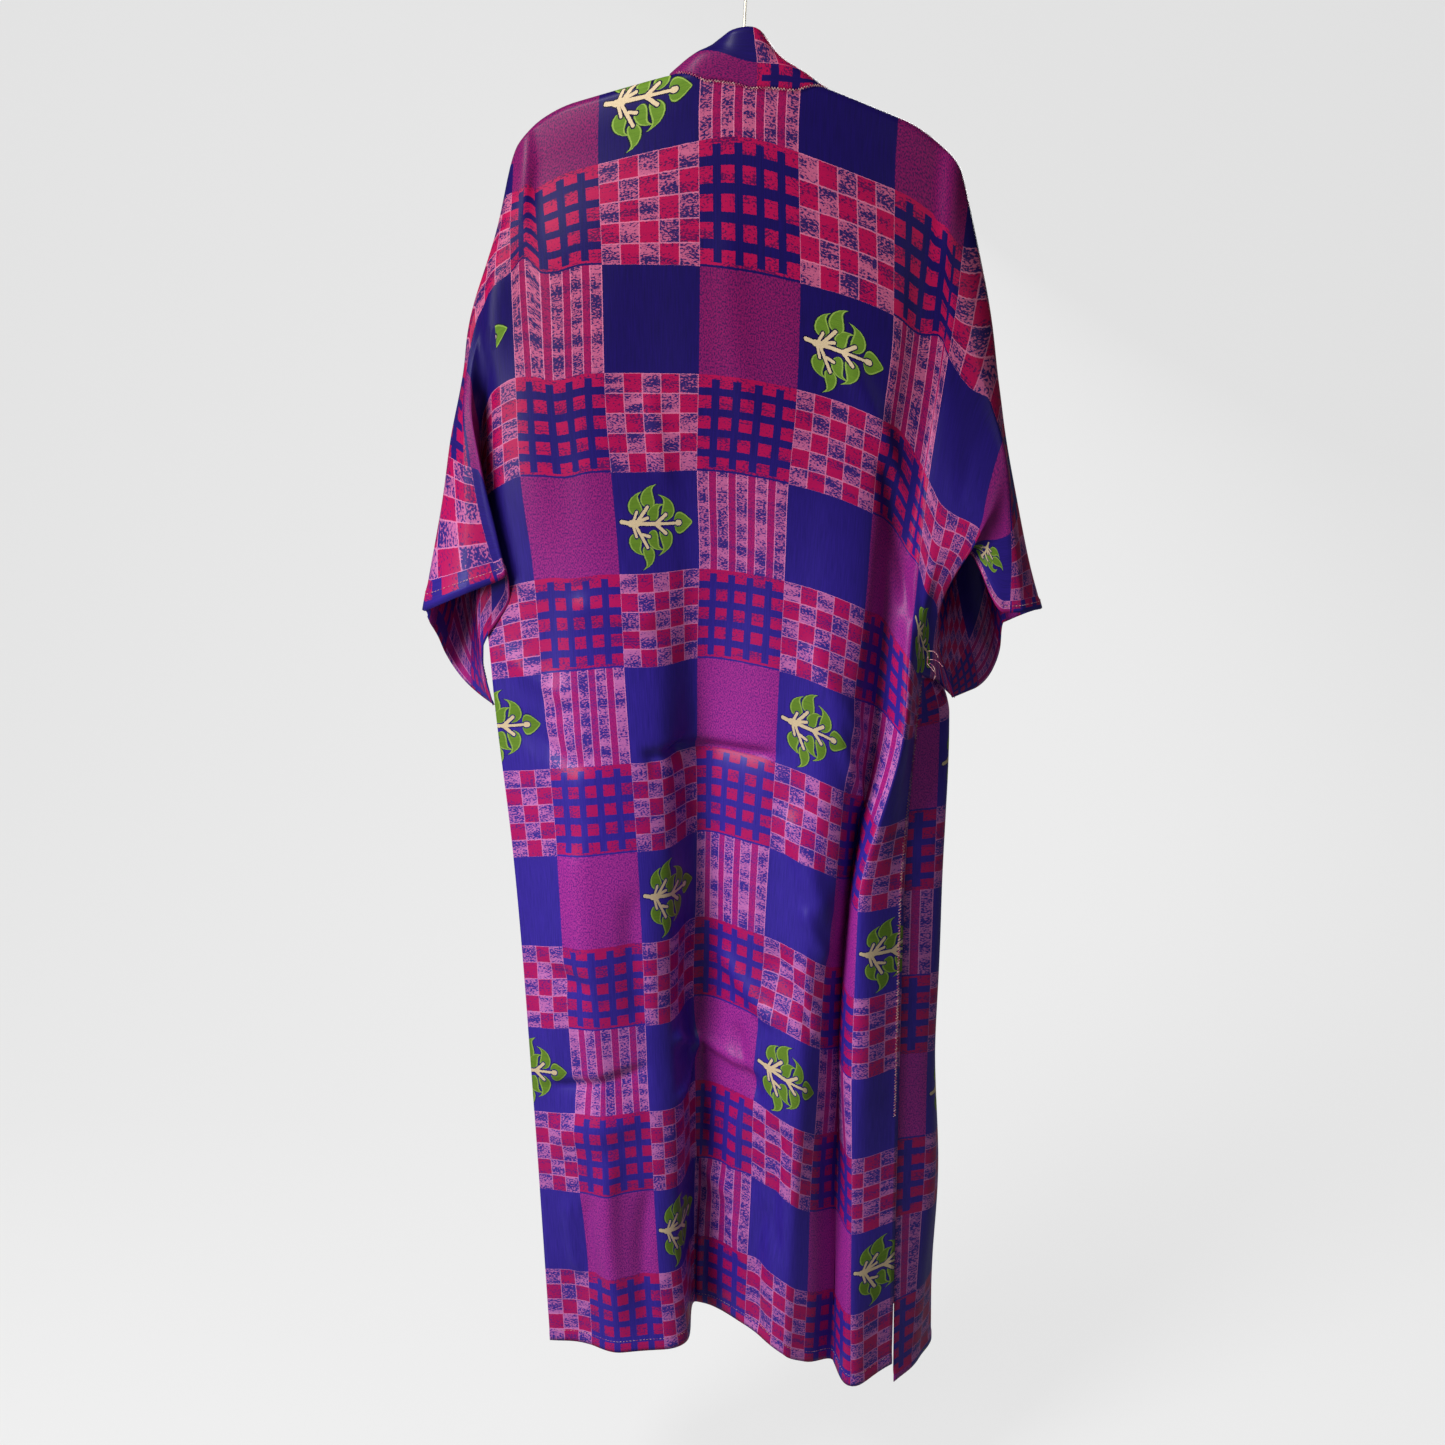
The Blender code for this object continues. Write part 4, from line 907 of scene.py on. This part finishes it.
def zigzag(line, side, pitch, wide):
    """Overlock thread that crosses a seam line from side to side."""
    far = way_along(line)
    places = np.arange(0.0, far[-1], pitch / 4)
    spots = np.column_stack([np.interp(places, far, line[:, i]) for i in range(3)])
    swing = wide * np.sin(places / pitch * 2 * math.pi)
    return spots + np.asarray(side, float) * swing[:, None]


def stitches(line):
    """Short straight stitches with small gaps along a line."""
    far = way_along(line)
    paths = []
    for start in np.arange(0.002, far[-1] - 0.004, STITCH[0] + STITCH[1]):
        ends = np.array((start, start + STITCH[0]))
        paths.append(np.column_stack([np.interp(ends, far, line[:, i]) for i in range(3)]))
    return paths


def cloth_line(grid, out, across, at, start, end):
    """Points down the cloth at one place across, and the directions out of the cloth there."""
    column = int(np.argmin(np.abs(across[:, 0] - at)))
    down = grid[column, :, 3]
    rows = np.flatnonzero((down >= start) & (down <= end))
    return grid[column, rows, :3], out[column, rows]


def hem_line(grid, out, across):
    """The line of stitches above the back's hem, on the outside."""
    row = int(np.nanargmin(np.abs(grid[len(grid) // 2, :, 3] - (ROBE_LENGTH - HEM_TURN + STITCH_INSIDE))))
    columns = np.flatnonzero(np.abs(across[:, 0]) <= HALF_BACK - SEAM_INSIDE)
    return grid[columns, row, :3] + out[columns, row] * STITCH_OUT


def cuff_line(grid, out, across, side):
    """The line of stitches beside a sleeve back's cuff, on the outside."""
    column = int(np.argmin(np.abs(across[:, 0] - side * (CUFF_ACROSS - HEM_TURN + STITCH_INSIDE))))
    down = grid[column, :, 3]
    rows = np.flatnonzero((down > CUFF_SEWN[0]) & (down < CUFF_SEWN[1]))
    return grid[column, rows, :3] + out[column, rows] * STITCH_OUT


def loose_thread(x, y, z, end_x, end_y, end_z, sway):
    """A thin curved thread end that hangs from the underarm."""
    start, end = np.array((x, y, z)), np.array((end_x, end_y, end_z))
    path = []
    for share in np.linspace(0, 1, 9):
        bow = np.array((sway * math.sin(math.pi * share), 0.0, sway * 0.4 * math.sin(2 * math.pi * share)))
        path.append(start + (end - start) * share + bow)
    return np.array(path)


# Shading recipes
class Value:
    """What a node puts out: sums with it add nodes to its own sheet."""

    def __init__(self, tree, socket):
        self.tree = tree
        self.socket = socket

    def __add__(self, other):
        return work("ADD", self, other)

    def __sub__(self, other):
        return work("SUBTRACT", self, other)

    def __rsub__(self, other):
        return work("SUBTRACT", other, self)

    def __mul__(self, other):
        return work("MULTIPLY", self, other)

    def __truediv__(self, other):
        return work("DIVIDE", self, other)

    def __mod__(self, other):
        return work("FLOORED_MODULO", self, other)

    def __lt__(self, other):
        return work("LESS_THAN", self, other)

    def __gt__(self, other):
        return work("GREATER_THAN", self, other)


def feed(sockets, values):
    """Give each named socket a fixed value, or what a node puts out."""
    for label, value in values.items():
        if isinstance(value, Value):
            value.tree.links.new(value.socket, sockets[label])
        else:
            sockets[label].default_value = value


def sheet_of(values):
    """The sheet that the first worked-out value is on."""
    return next(value.tree for value in values if isinstance(value, Value))


def add_node(tree, kind, values, gives=0, **settings):
    """A node with its settings and inputs; what it puts out."""
    node = tree.nodes.new("ShaderNode" + kind)
    for label, setting in settings.items():
        setattr(node, label, setting)
    feed(node.inputs, values)
    return Value(tree, node.outputs[gives])


def work(operation, *values, clamp=False):
    """One sum."""
    inputs = dict(enumerate(values))
    return add_node(sheet_of(values), "Math", inputs, operation=operation, use_clamp=clamp)


def either(*values):
    """The greater of two values, so one share or the other."""
    return work("MAXIMUM", *values)


def least(values):
    """The least of several values."""
    return functools.reduce(lambda one, other: work("MINIMUM", one, other), values)


def dyed(share, under, over):
    """Lay one colour over another where the share says so."""
    layers = {0: share, 6: under, 7: over}
    return add_node(sheet_of(layers.values()), "Mix", layers, 2, data_type="RGBA")


def grain(place, size, detail=2.0, stretch=None):
    """Uneven grain of about that size in metres, from 0 to 1."""
    if stretch is not None:
        place = add_node(place.tree, "VectorMath", {0: place, 1: stretch}, operation="MULTIPLY")
    noise = {"Scale": 1 / size, "Detail": detail, "Vector": place}
    return add_node(place.tree, "TexNoise", noise, "Fac")


def step_at(value, edge, soft):
    """Rises from 0 to 1 where a value passes an edge."""
    ends = {"Value": value, "From Min": edge - soft, "From Max": edge + soft}
    return add_node(value.tree, "MapRange", ends, "Result", interpolation_type="SMOOTHSTEP")


def new_recipe(name, inputs, outputs):
    """An empty recipe on its own sheet; an input with no value of its own is a place."""
    tree = bpy.data.node_groups.new(name, "ShaderNodeTree")
    for label, value in inputs.items():
        kind = "NodeSocketVector" if value is None else "NodeSocketFloat"
        socket = tree.interface.new_socket(label, in_out="INPUT", socket_type=kind)
        if value is not None:
            socket.default_value = value
    for label, kind in outputs.items():
        tree.interface.new_socket(label, in_out="OUTPUT", socket_type="NodeSocket" + kind)
    start = tree.nodes.new("NodeGroupInput")
    end = tree.nodes.new("NodeGroupOutput")
    return tree, {label: Value(tree, start.outputs[label]) for label in inputs}, end.inputs


def place_in(recipe, **values):
    """Use a recipe on another sheet, with its own values."""
    tree = sheet_of(values.values())
    node = tree.nodes.new("ShaderNodeGroup")
    node.node_tree = recipe
    feed(node.inputs, {label.replace("_", " "): value for label, value in values.items()})
    return {output.name: Value(tree, output) for output in node.outputs}


def leaf_recipe():
    """Distance from a comma-shaped leaf: negative inside it."""
    tree, given, result = new_recipe(
        "comma leaf",
        {"Across": 0.0, "Down": 0.0, "Leaf across": 0.0, "Leaf down": 0.0, "Turn": 0.0,
         "Length": 0.015, "Wide": 0.014, "Bend": 0.0, "Point": 0.55},
        {"Distance": "Float"},
    )
    dx = given["Across"] - given["Leaf across"]
    dy = given["Down"] - given["Leaf down"]
    c = work("COSINE", given["Turn"])
    s = work("SINE", given["Turn"])
    along = dx * c + dy * s
    share = along / given["Length"]
    curl = along * along * given["Bend"]
    hook = work("POWER", either(share, 0.0), 4.0) * given["Bend"] * 0.0005
    beside = dy * c - dx * s - (curl + hook)
    round_off = work("SQRT", either(1.0 - share * share, 0.0))
    half = round_off * (1.0 - share * given["Point"]) * given["Wide"] * 0.5
    past = either(work("ABSOLUTE", share) - 1.0, 0.0) * given["Length"] * 1.5
    feed(result, {"Distance": work("ABSOLUTE", beside) - half + past})
    return tree


def twig_recipe():
    """Distance from a straight twig with round ends: negative inside it."""
    tree, given, result = new_recipe(
        "twig",
        {"Across": 0.0, "Down": 0.0, "Start across": 0.0, "Start down": 0.0,
         "End across": 0.01, "End down": 0.0, "Thick": 0.002},
        {"Distance": "Float"},
    )
    ax = given["Across"] - given["Start across"]
    ay = given["Down"] - given["Start down"]
    bx = given["End across"] - given["Start across"]
    by = given["End down"] - given["Start down"]
    share = work("DIVIDE", ax * bx + ay * by, bx * bx + by * by, clamp=True)
    ex = ax - bx * share
    ey = ay - by * share
    feed(result, {"Distance": work("SQRT", ex * ex + ey * ey) - given["Thick"]})
    return tree


def sprig_recipe():
    """The printed sprig: distances from its leaves and from its stem."""
    tree, given, result = new_recipe(
        "sprig", {"Across": 0.0, "Down": 0.0}, {"Leaf": "Float", "Stem": "Float"})
    leaf = leaf_recipe()
    twig = twig_recipe()
    leaves = [
        place_in(leaf, **given, Leaf_across=x / 1000, Leaf_down=y / 1000,
                 Turn=math.radians(turn), Length=length / 1000, Wide=wide / 1000, Bend=bend,
                 Point=0.5 if bend else 0.62)["Distance"]
        for x, y, turn, length, wide, bend in LEAVES
    ]
    twigs = [
        place_in(twig, **given, Start_across=x0 / 1000, Start_down=y0 / 1000,
                 End_across=x1 / 1000, End_down=y1 / 1000, Thick=thick / 1000)["Distance"]
        for x0, y0, x1, y1, thick in TWIGS
    ]
    feed(result, {"Leaf": least(leaves), "Stem": least(twigs)})
    return tree


def print_recipe():
    """The whole printed and woven cloth: squares in rows, read in flat metres, with painted light near the
    hem.
    """
    tree, given, result = new_recipe(
        "robe print",
        {"Flat place": None, "Near hem": 0.0},
        {"Colour": "Color", "Raised": "Float", "Dull": "Float"},
    )
    place = given["Flat place"]
    # painted light: towards the hem each dye turns into its brighter, bluer lit copy
    dyes_and_hem_light = {name: dyed(given["Near hem"], DYES[name], HEM_PAINTED_LIGHT[name]) for name in DYES}
    wander = {"Scale": 420.0, "Detail": 1.0, "Vector": place}
    shift = {0: add_node(tree, "TexNoise", wander, "Color"), 1: (0.5, 0.5, 0.5)}
    uneven = {0: add_node(tree, "VectorMath", shift, operation="SUBTRACT"),
              1: (WANDER, WANDER, 0.0), 2: place}
    uneven = add_node(tree, "VectorMath", uneven, operation="MULTIPLY_ADD")
    across, down = (add_node(tree, "SeparateXYZ", {0: uneven}, axis) for axis in (0, 1))

    column = work("FLOOR", across / SQUARE + 0.5)
    in_x = across - column * SQUARE
    from_left = in_x + SQUARE / 2
    pairs = (down - PRINT_START) / ROW_PAIR
    pair = work("FLOOR", pairs)
    in_pair = (pairs - pair) * ROW_PAIR
    odd_row = in_pair < UPPER_ROW
    even_row = 1.0 - odd_row
    from_top = in_pair - even_row * UPPER_ROW
    odd_column = column % 2.0
    turn = 1.0 - pair % 2.0
    kind = (column + turn * 2.0) % 4.0

    lattice = odd_row * (1.0 - odd_column)
    checker = odd_row * odd_column
    # kind 1 is plain navy, which is the ground
    stripes, heather, sprig = (
        even_row * work("COMPARE", kind, number, 0.1) for number in (0.0, 2.0, 3.0))

    fine = grain(place, 0.0013)
    denim = grain(place, 0.0013, 3.0, (1.0, 0.60, 1.0))
    threads = grain(place, 0.0014, 2.0, (1.0, 0.05, 1.0))
    cross_threads = grain(place, 0.0014, 2.0, (0.06, 1.0, 1.0))
    broad = grain(place, 0.0110, 2.0, (0.25, 1.0, 1.0)) - 0.5
    banded = grain(place, 0.0016, 2.0, (0.55, 1.0, 1.0)) + broad * 0.7

    # the grounds
    navy = dyed(threads * 0.85, dyes_and_hem_light["navy"], dyes_and_hem_light["deep navy"])
    crimson = dyed(step_at(banded, 0.57, 0.05), dyes_and_hem_light["crimson"], dyes_and_hem_light["crimson fleck"])
    crimson = dyed(cross_threads * 0.6, crimson, dyes_and_hem_light["crimson shade"])
    heathered = dyed(step_at(denim, 0.52, 0.12), dyes_and_hem_light["heather"], dyes_and_hem_light["heather fleck"])
    heathered = dyed(threads * 0.45, heathered, dyes_and_hem_light["heather fleck"])
    light = dyed(work("ADD", broad, 0.35, clamp=True), dyes_and_hem_light["light"], dyes_and_hem_light["light shade"])
    light = dyed(step_at(banded, 0.50, 0.05), light, dyes_and_hem_light["light fleck"])

    # bars of the lattice, 13 mm squares with 8 mm bars between them
    across_bars, down_bars = (measure % BAR_PITCH > BAR_START for measure in (from_left, from_top))
    inner = work("COMPARE", from_top, *LATTICE_INNER)
    lattice_colour = dyed(either(across_bars * inner, down_bars), crimson, navy)

    # five by five small squares with thin pale outlines
    def count(measure, size):
        return work("FLOOR", measure / size)

    def near_line(measure, size):
        inside = (measure + size / 2) % size
        return work("ABSOLUTE", inside - size / 2) < CHECK_LINE

    dark_square = (count(from_left, CHECK[0]) + count(from_top, CHECK[1])) % 2.0
    lines = either(near_line(from_left, CHECK[0]), near_line(from_top, CHECK[1]))
    checker_colour = dyed(dark_square, light, crimson)
    checker_colour = dyed(lines * 0.55, checker_colour, dyes_and_hem_light["outline"])

    # five speckled stripes with plain ones between
    in_stripe = from_left % BAR_PITCH
    stripe_edge = either(in_stripe < STRIPE_EDGE[0], work("COMPARE", in_stripe, *STRIPE_EDGE[1:]))
    stripe_colour = dyed(in_stripe > BAR_START, light, dyed(0.55, heathered, crimson))
    stripe_colour = dyed(stripe_edge * 0.65, stripe_colour, dyes_and_hem_light["outline"])

    # the sprig on its dark ground
    drawn = place_in(sprig_recipe(), Across=in_x, Down=from_top - SPRIG_MIDDLE)
    leaf_in = drawn["Leaf"] < 0.0
    leaf_light = work("COMPARE", drawn["Leaf"], *LEAF_LIGHT)
    stem_in = drawn["Stem"] < 0.0
    green = dyed(cross_threads * 0.9, SEWN["leaf"], SEWN["leaf shade"])
    green = dyed(leaf_light * 0.7, green, SEWN["leaf light"])
    cream = dyed(fine * 0.7, SEWN["stem"], SEWN["stem shade"])
    sprig_colour = dyed(drawn["Leaf"] < SPRIG_RIM[0], navy, dyes_and_hem_light["deep navy"])
    sprig_colour = dyed(leaf_in, sprig_colour, green)
    sprig_colour = dyed(drawn["Stem"] < SPRIG_RIM[1], sprig_colour, dyes_and_hem_light["deep navy"])
    sprig_colour = dyed(stem_in, sprig_colour, cream)
    # all but a leaf's tip of one sprig is taken up in the left sleeve's pleat
    taken_up = (across < PLEAT_FROM) * work("COMPARE", down, *PLEAT_DOWN)
    sprig_colour = dyed(taken_up, sprig_colour, navy)

    colour = navy
    for where, square in (
        (lattice, lattice_colour),
        (checker, checker_colour),
        (stripes, stripe_colour),
        (heather, heathered),
        (sprig, sprig_colour),
    ):
        colour = dyed(where, colour, square)
    stitched = sprig * either(leaf_in, stem_in)
    raised = threads * 0.25 + cross_threads * 0.15
    feed(result, {"Colour": colour, "Raised": raised, "Dull": stitched * 0.25 + fine * 0.10})
    return tree


def plain_material(name):
    """A material, its shader's inputs and its sheet."""
    material = bpy.data.materials.new(name)
    material.use_nodes = True
    tree = material.node_tree
    return material, tree.nodes["Principled BSDF"].inputs, tree


def object_place(tree):
    """Where on the piece a point is."""
    return add_node(tree, "TexCoord", {}, "Object")


def printed_cloth(name, recipe, gloss):
    """Satin cloth with the print, read from the piece's own flat map, with painted light and more gloss
    lower down.
    """
    material, shader, tree = plain_material(name)
    flat = add_node(tree, "UVMap", {}, uv_map="flat cloth")
    height = add_node(tree, "SeparateXYZ", {0: object_place(tree)}, 2)
    # painted light by height: lower down the print turns brighter and bluer, and the coat gloss rises
    near_hem = step_at(height * -1.0, *HEM_LIGHT_AND_GLOSS_FROM)
    dye = place_in(recipe, Flat_place=flat, Near_hem=near_hem)
    relief = {"Strength": 0.45, "Distance": 0.0006, "Height": dye["Raised"]}
    feed(shader, {
        "Base Color": dye["Colour"], "Roughness": dye["Dull"] + gloss,
        "Specular IOR Level": 0.13, "Coat Roughness": 0.28,
        "Coat Weight": near_hem * HEM_GLOSS, "Normal": add_node(tree, "Bump", relief),
    })
    return material


def thread_material():
    """Pale pinkish sewing thread."""
    material, shader, tree = plain_material("overlock thread")
    turns = step_at(grain(object_place(tree), 0.0030), 0.5, 0.08)
    colour = dyed(turns, SEWN["thread"], SEWN["thread shade"])
    feed(shader, {"Base Color": colour, "Roughness": 0.7})
    return material


def hanger_material():
    """Pale moulded plastic, a little uneven."""
    material, shader, tree = plain_material("hanger plastic")
    tone = grain(object_place(tree), 0.03, 3.0)
    colour = dyed(tone, paint("C9C2B4"), paint("B9B1A2"))
    feed(shader, {"Base Color": colour, "Roughness": tone * 0.15 + 0.35})
    return material


def wire_material():
    """Bright drawn steel wire."""
    material, shader, tree = plain_material("hook wire")
    drawn = grain(object_place(tree), 0.002, 2.0, (1.0, 1.0, 0.1))
    feed(shader, {"Base Color": paint("C4BEB0"), "Metallic": 1.0, "Roughness": drawn * 0.2 + 0.22})
    return material


def wear(piece, material):
    """Give a piece its one material."""
    piece.data.materials.clear()
    piece.data.materials.append(material)


# The cloth pieces
NET = back_net()
PRINT = print_recipe()
ROBE_CLOTH = printed_cloth("printed satin", PRINT, 0.36)
BAND_MATERIAL = printed_cloth("neckband satin", PRINT, 0.38)

back_grid, back_across = fine_back(NET)
back_down = back_grid[..., 3]
out_of_back = outward(back_grid, -1)
# ripples and creases fade out towards the hanger, the side seams and the band
free = eased(back_down, 0.06, 0.16) * (1 - eased(np.abs(back_across), 0.26, 0.31))
lift = creased(back_across, back_down, BACK_CREASES) + rippled(back_across, back_down, 0.0)
ledge = hem_ledge(ROBE_LENGTH - back_down) + hem_ledge(CUFF_ACROSS - np.abs(back_across))
back_grid[..., :3] += out_of_back * (lift * free + ledge)[..., None]
back = cloth_piece("back_cloth", back_grid, back_across, CLOTH, straight)
wear(back, ROBE_CLOTH)
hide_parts("back")
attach(back, "root")

fronts = {}
for side, name, node in ((-1, "front_left_cloth", "front_left"), (1, "front_right_cloth", "front_right")):
    grid, across = fine_front(NET, side)
    out = outward(grid, 1)
    free = eased(grid[..., 3], 0.12, 0.25) * (1 - eased(np.abs(across), 0.25, 0.30))
    free *= eased(np.abs(across), 0.085, 0.12)
    ledge = hem_ledge(ROBE_LENGTH - grid[..., 3]) + hem_ledge(CUFF_ACROSS - np.abs(across))
    grid[..., :3] += out * (rippled(across, grid[..., 3], 2.0 + side) * free + ledge)[..., None]
    piece = cloth_piece(name, grid, across, CLOTH, turned_round)
    wear(piece, ROBE_CLOTH)
    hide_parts(node)
    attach(piece, "root")
    fronts[side] = (piece, grid)

# the neckband: up the left front, round behind the neck and down the right front
left_edge = fronts[-1][1][-1]
right_edge = fronts[1][1][0]
left_edge = left_edge[~np.isnan(left_edge[:, 0])]
right_edge = right_edge[~np.isnan(right_edge[:, 0])]
sections = front_sections(left_edge, -1)[::-1] + neck_sections() + front_sections(right_edge, 1)
seam_line = np.stack([section[0] for section in sections])
band_grid = fine_sections(sections)
length = way_along(seam_line)
middle = length[len(left_edge) - 1 + (len(neck_sections()) // 2)]
band_across = np.repeat((length - middle)[:, None], BAND_ROWS, axis=1)
band = cloth_piece("neck_band_cloth", band_grid, band_across, BAND_CLOTH, band_place)
wear(band, BAND_MATERIAL)
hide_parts("neck_band")
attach(band, "root")

# Threads: overlock along the neck seam and the right side seam, stitches along the hems, and
# loose ends at the right underarm
THREAD = thread_material()
neck_line = np.array([shoulder_points(across)[0][:3] for across in np.linspace(*NECK_SEWN)])
neck_line += np.array(NECK_SEAM_OUT)
side_line, side_out = cloth_line(back_grid, out_of_back, back_across, HALF_BACK - SEAM_INSIDE, *SIDE_SEWN)
sewn = {
    "neck_overlock": [zigzag(neck_line, (0.0, 0.0, 1.0), *NECK_ZIGZAG)],
    "side_overlock": [zigzag(side_line + side_out * SIDE_SEAM_OUT, (1.0, 0.0, 0.0), *SIDE_ZIGZAG)],
    "hem_stitches": stitches(hem_line(back_grid, out_of_back, back_across)),
    "left_cuff_stitches": stitches(cuff_line(back_grid, out_of_back, back_across, -1)),
    "right_cuff_stitches": stitches(cuff_line(back_grid, out_of_back, back_across, 1)),
    "loose_threads": [loose_thread(*row) for row in LOOSE_THREADS],
}
for name, paths in sewn.items():
    thread = tube(name, paths, STITCH_THICK if "stitches" in name else THREAD_THICK, 4)
    wear(thread, THREAD)
    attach(thread, "root")

wear(bpy.data.objects["hanger_bar"], hanger_material())
wear(bpy.data.objects["hanger_hook"], wire_material())

# The studio
FLOOR = -1.86
COVE = 1.6                   # radius of the curve from the floor up to the backdrop
COVE_STEPS = 12
BACKDROP_RISE = 4.0          # and the backdrop's height above it
FLOOR_SIZE = 12.0
FLOOR_MIDDLE = -4.8          # its rear edge, where the curve starts, is 1.2 m behind the robe
STUDIO_GLOW = (0.65, 0.04)   # the paint's own glow: extra for the camera, and for everything
AIR_GLOW = (0.72, 0.08)      # and the glow of the air round the robe
PHOTO_LENS = 43.349          # in mm, on a sensor 36 mm wide
CAMERA_PLACE = (-0.0251, -1.835, -0.310)
CAMERA_DIP = math.atan(0.2568)  # how far it looks down
LAMPS = (
    # name            place              looks at          width  watts
    ("key softbox", (-1.5, -1.5, 1.4), (0.0, 0.0, -0.7), 0.9, 78.0),
    ("right softbox", (2.2, -2.0, 0.2), (0.0, 0.0, -0.7), 1.0, 6.0),
    ("low softbox", (-1.9, -1.5, -0.3), (0.0, 0.0, -1.2), 1.1, 38.0),
    ("front softbox", (0.9, 2.3, 0.5), (0.0, 0.0, -0.8), 1.2, 42.0),
)


def camera_glow(tree, extra, common):
    """Glow that is stronger for the camera than for everything else."""
    return add_node(tree, "LightPath", {}, "Is Camera Ray") * extra + common


bpy.ops.object.select_all(action="DESELECT")
bpy.ops.mesh.primitive_plane_add(size=FLOOR_SIZE, location=(0.0, FLOOR_MIDDLE, FLOOR))
studio = bpy.context.active_object
studio.name = "studio_floor"
bpy.ops.object.transform_apply(location=True, rotation=True, scale=True)
bpy.ops.object.mode_set(mode="EDIT")
bpy.ops.mesh.select_all(action="DESELECT")
bpy.ops.mesh.select_mode(type="EDGE")
rim = bmesh.from_edit_mesh(studio.data)
for edge in rim.edges:
    edge.select = all(corner.co.y > FLOOR_MIDDLE + 0.48 * FLOOR_SIZE for corner in edge.verts)
rim.select_flush_mode()
bmesh.update_edit_mesh(studio.data)
last = np.array((0.0, 0.0))
for step in range(1, COVE_STEPS + 2):
    angle = math.pi / 2 * min(step, COVE_STEPS) / COVE_STEPS
    rise = BACKDROP_RISE if step > COVE_STEPS else 0.0
    spot = np.array((COVE * math.sin(angle), COVE * (1 - math.cos(angle)) + rise))
    bpy.ops.mesh.extrude_region_move(TRANSFORM_OT_translate={"value": (0.0, *(spot - last))})
    last = spot
bpy.ops.object.mode_set(mode="OBJECT")
bpy.ops.object.shade_smooth()
studio_paint, studio_shader, studio_tree = plain_material("pale studio paint")
feed(studio_shader, {
    "Base Color": paint("6C6C6C"), "Roughness": 0.9, "Emission Color": (1.0, 1.0, 1.0, 1.0),
    "Emission Strength": camera_glow(studio_tree, *STUDIO_GLOW),
})
wear(studio, studio_paint)

for name, where, aim, size, power in LAMPS:
    lamp = bpy.data.lights.new(name, "AREA")
    lamp.size = size
    lamp.energy = power
    light = bpy.data.objects.new(name, lamp)
    bpy.context.scene.collection.objects.link(light)
    light.location = where
    way = np.array(aim) - np.array(where)
    light.rotation_euler = (
        math.atan2(math.hypot(way[0], way[1]), -way[2]), 0.0, math.atan2(way[1], way[0]) - math.pi / 2)

world = bpy.data.worlds.new("studio air")
world.use_nodes = True
air = world.node_tree
air_glow = {"Color": (1.0, 1.0, 1.0, 1.0), "Strength": camera_glow(air, *AIR_GLOW)}
feed(air.nodes["Background"].inputs, air_glow)
bpy.context.scene.world = world
bpy.context.scene.view_settings.view_transform = "Standard"

lens = bpy.data.cameras.new("photo camera")
lens.lens = PHOTO_LENS
lens.sensor_width = 36.0
camera = bpy.data.objects.new("photo camera", lens)
bpy.context.scene.collection.objects.link(camera)
camera.location = CAMERA_PLACE
camera.rotation_euler = (math.pi / 2 - CAMERA_DIP, 0.0, 0.0)
bpy.context.scene.camera = camera
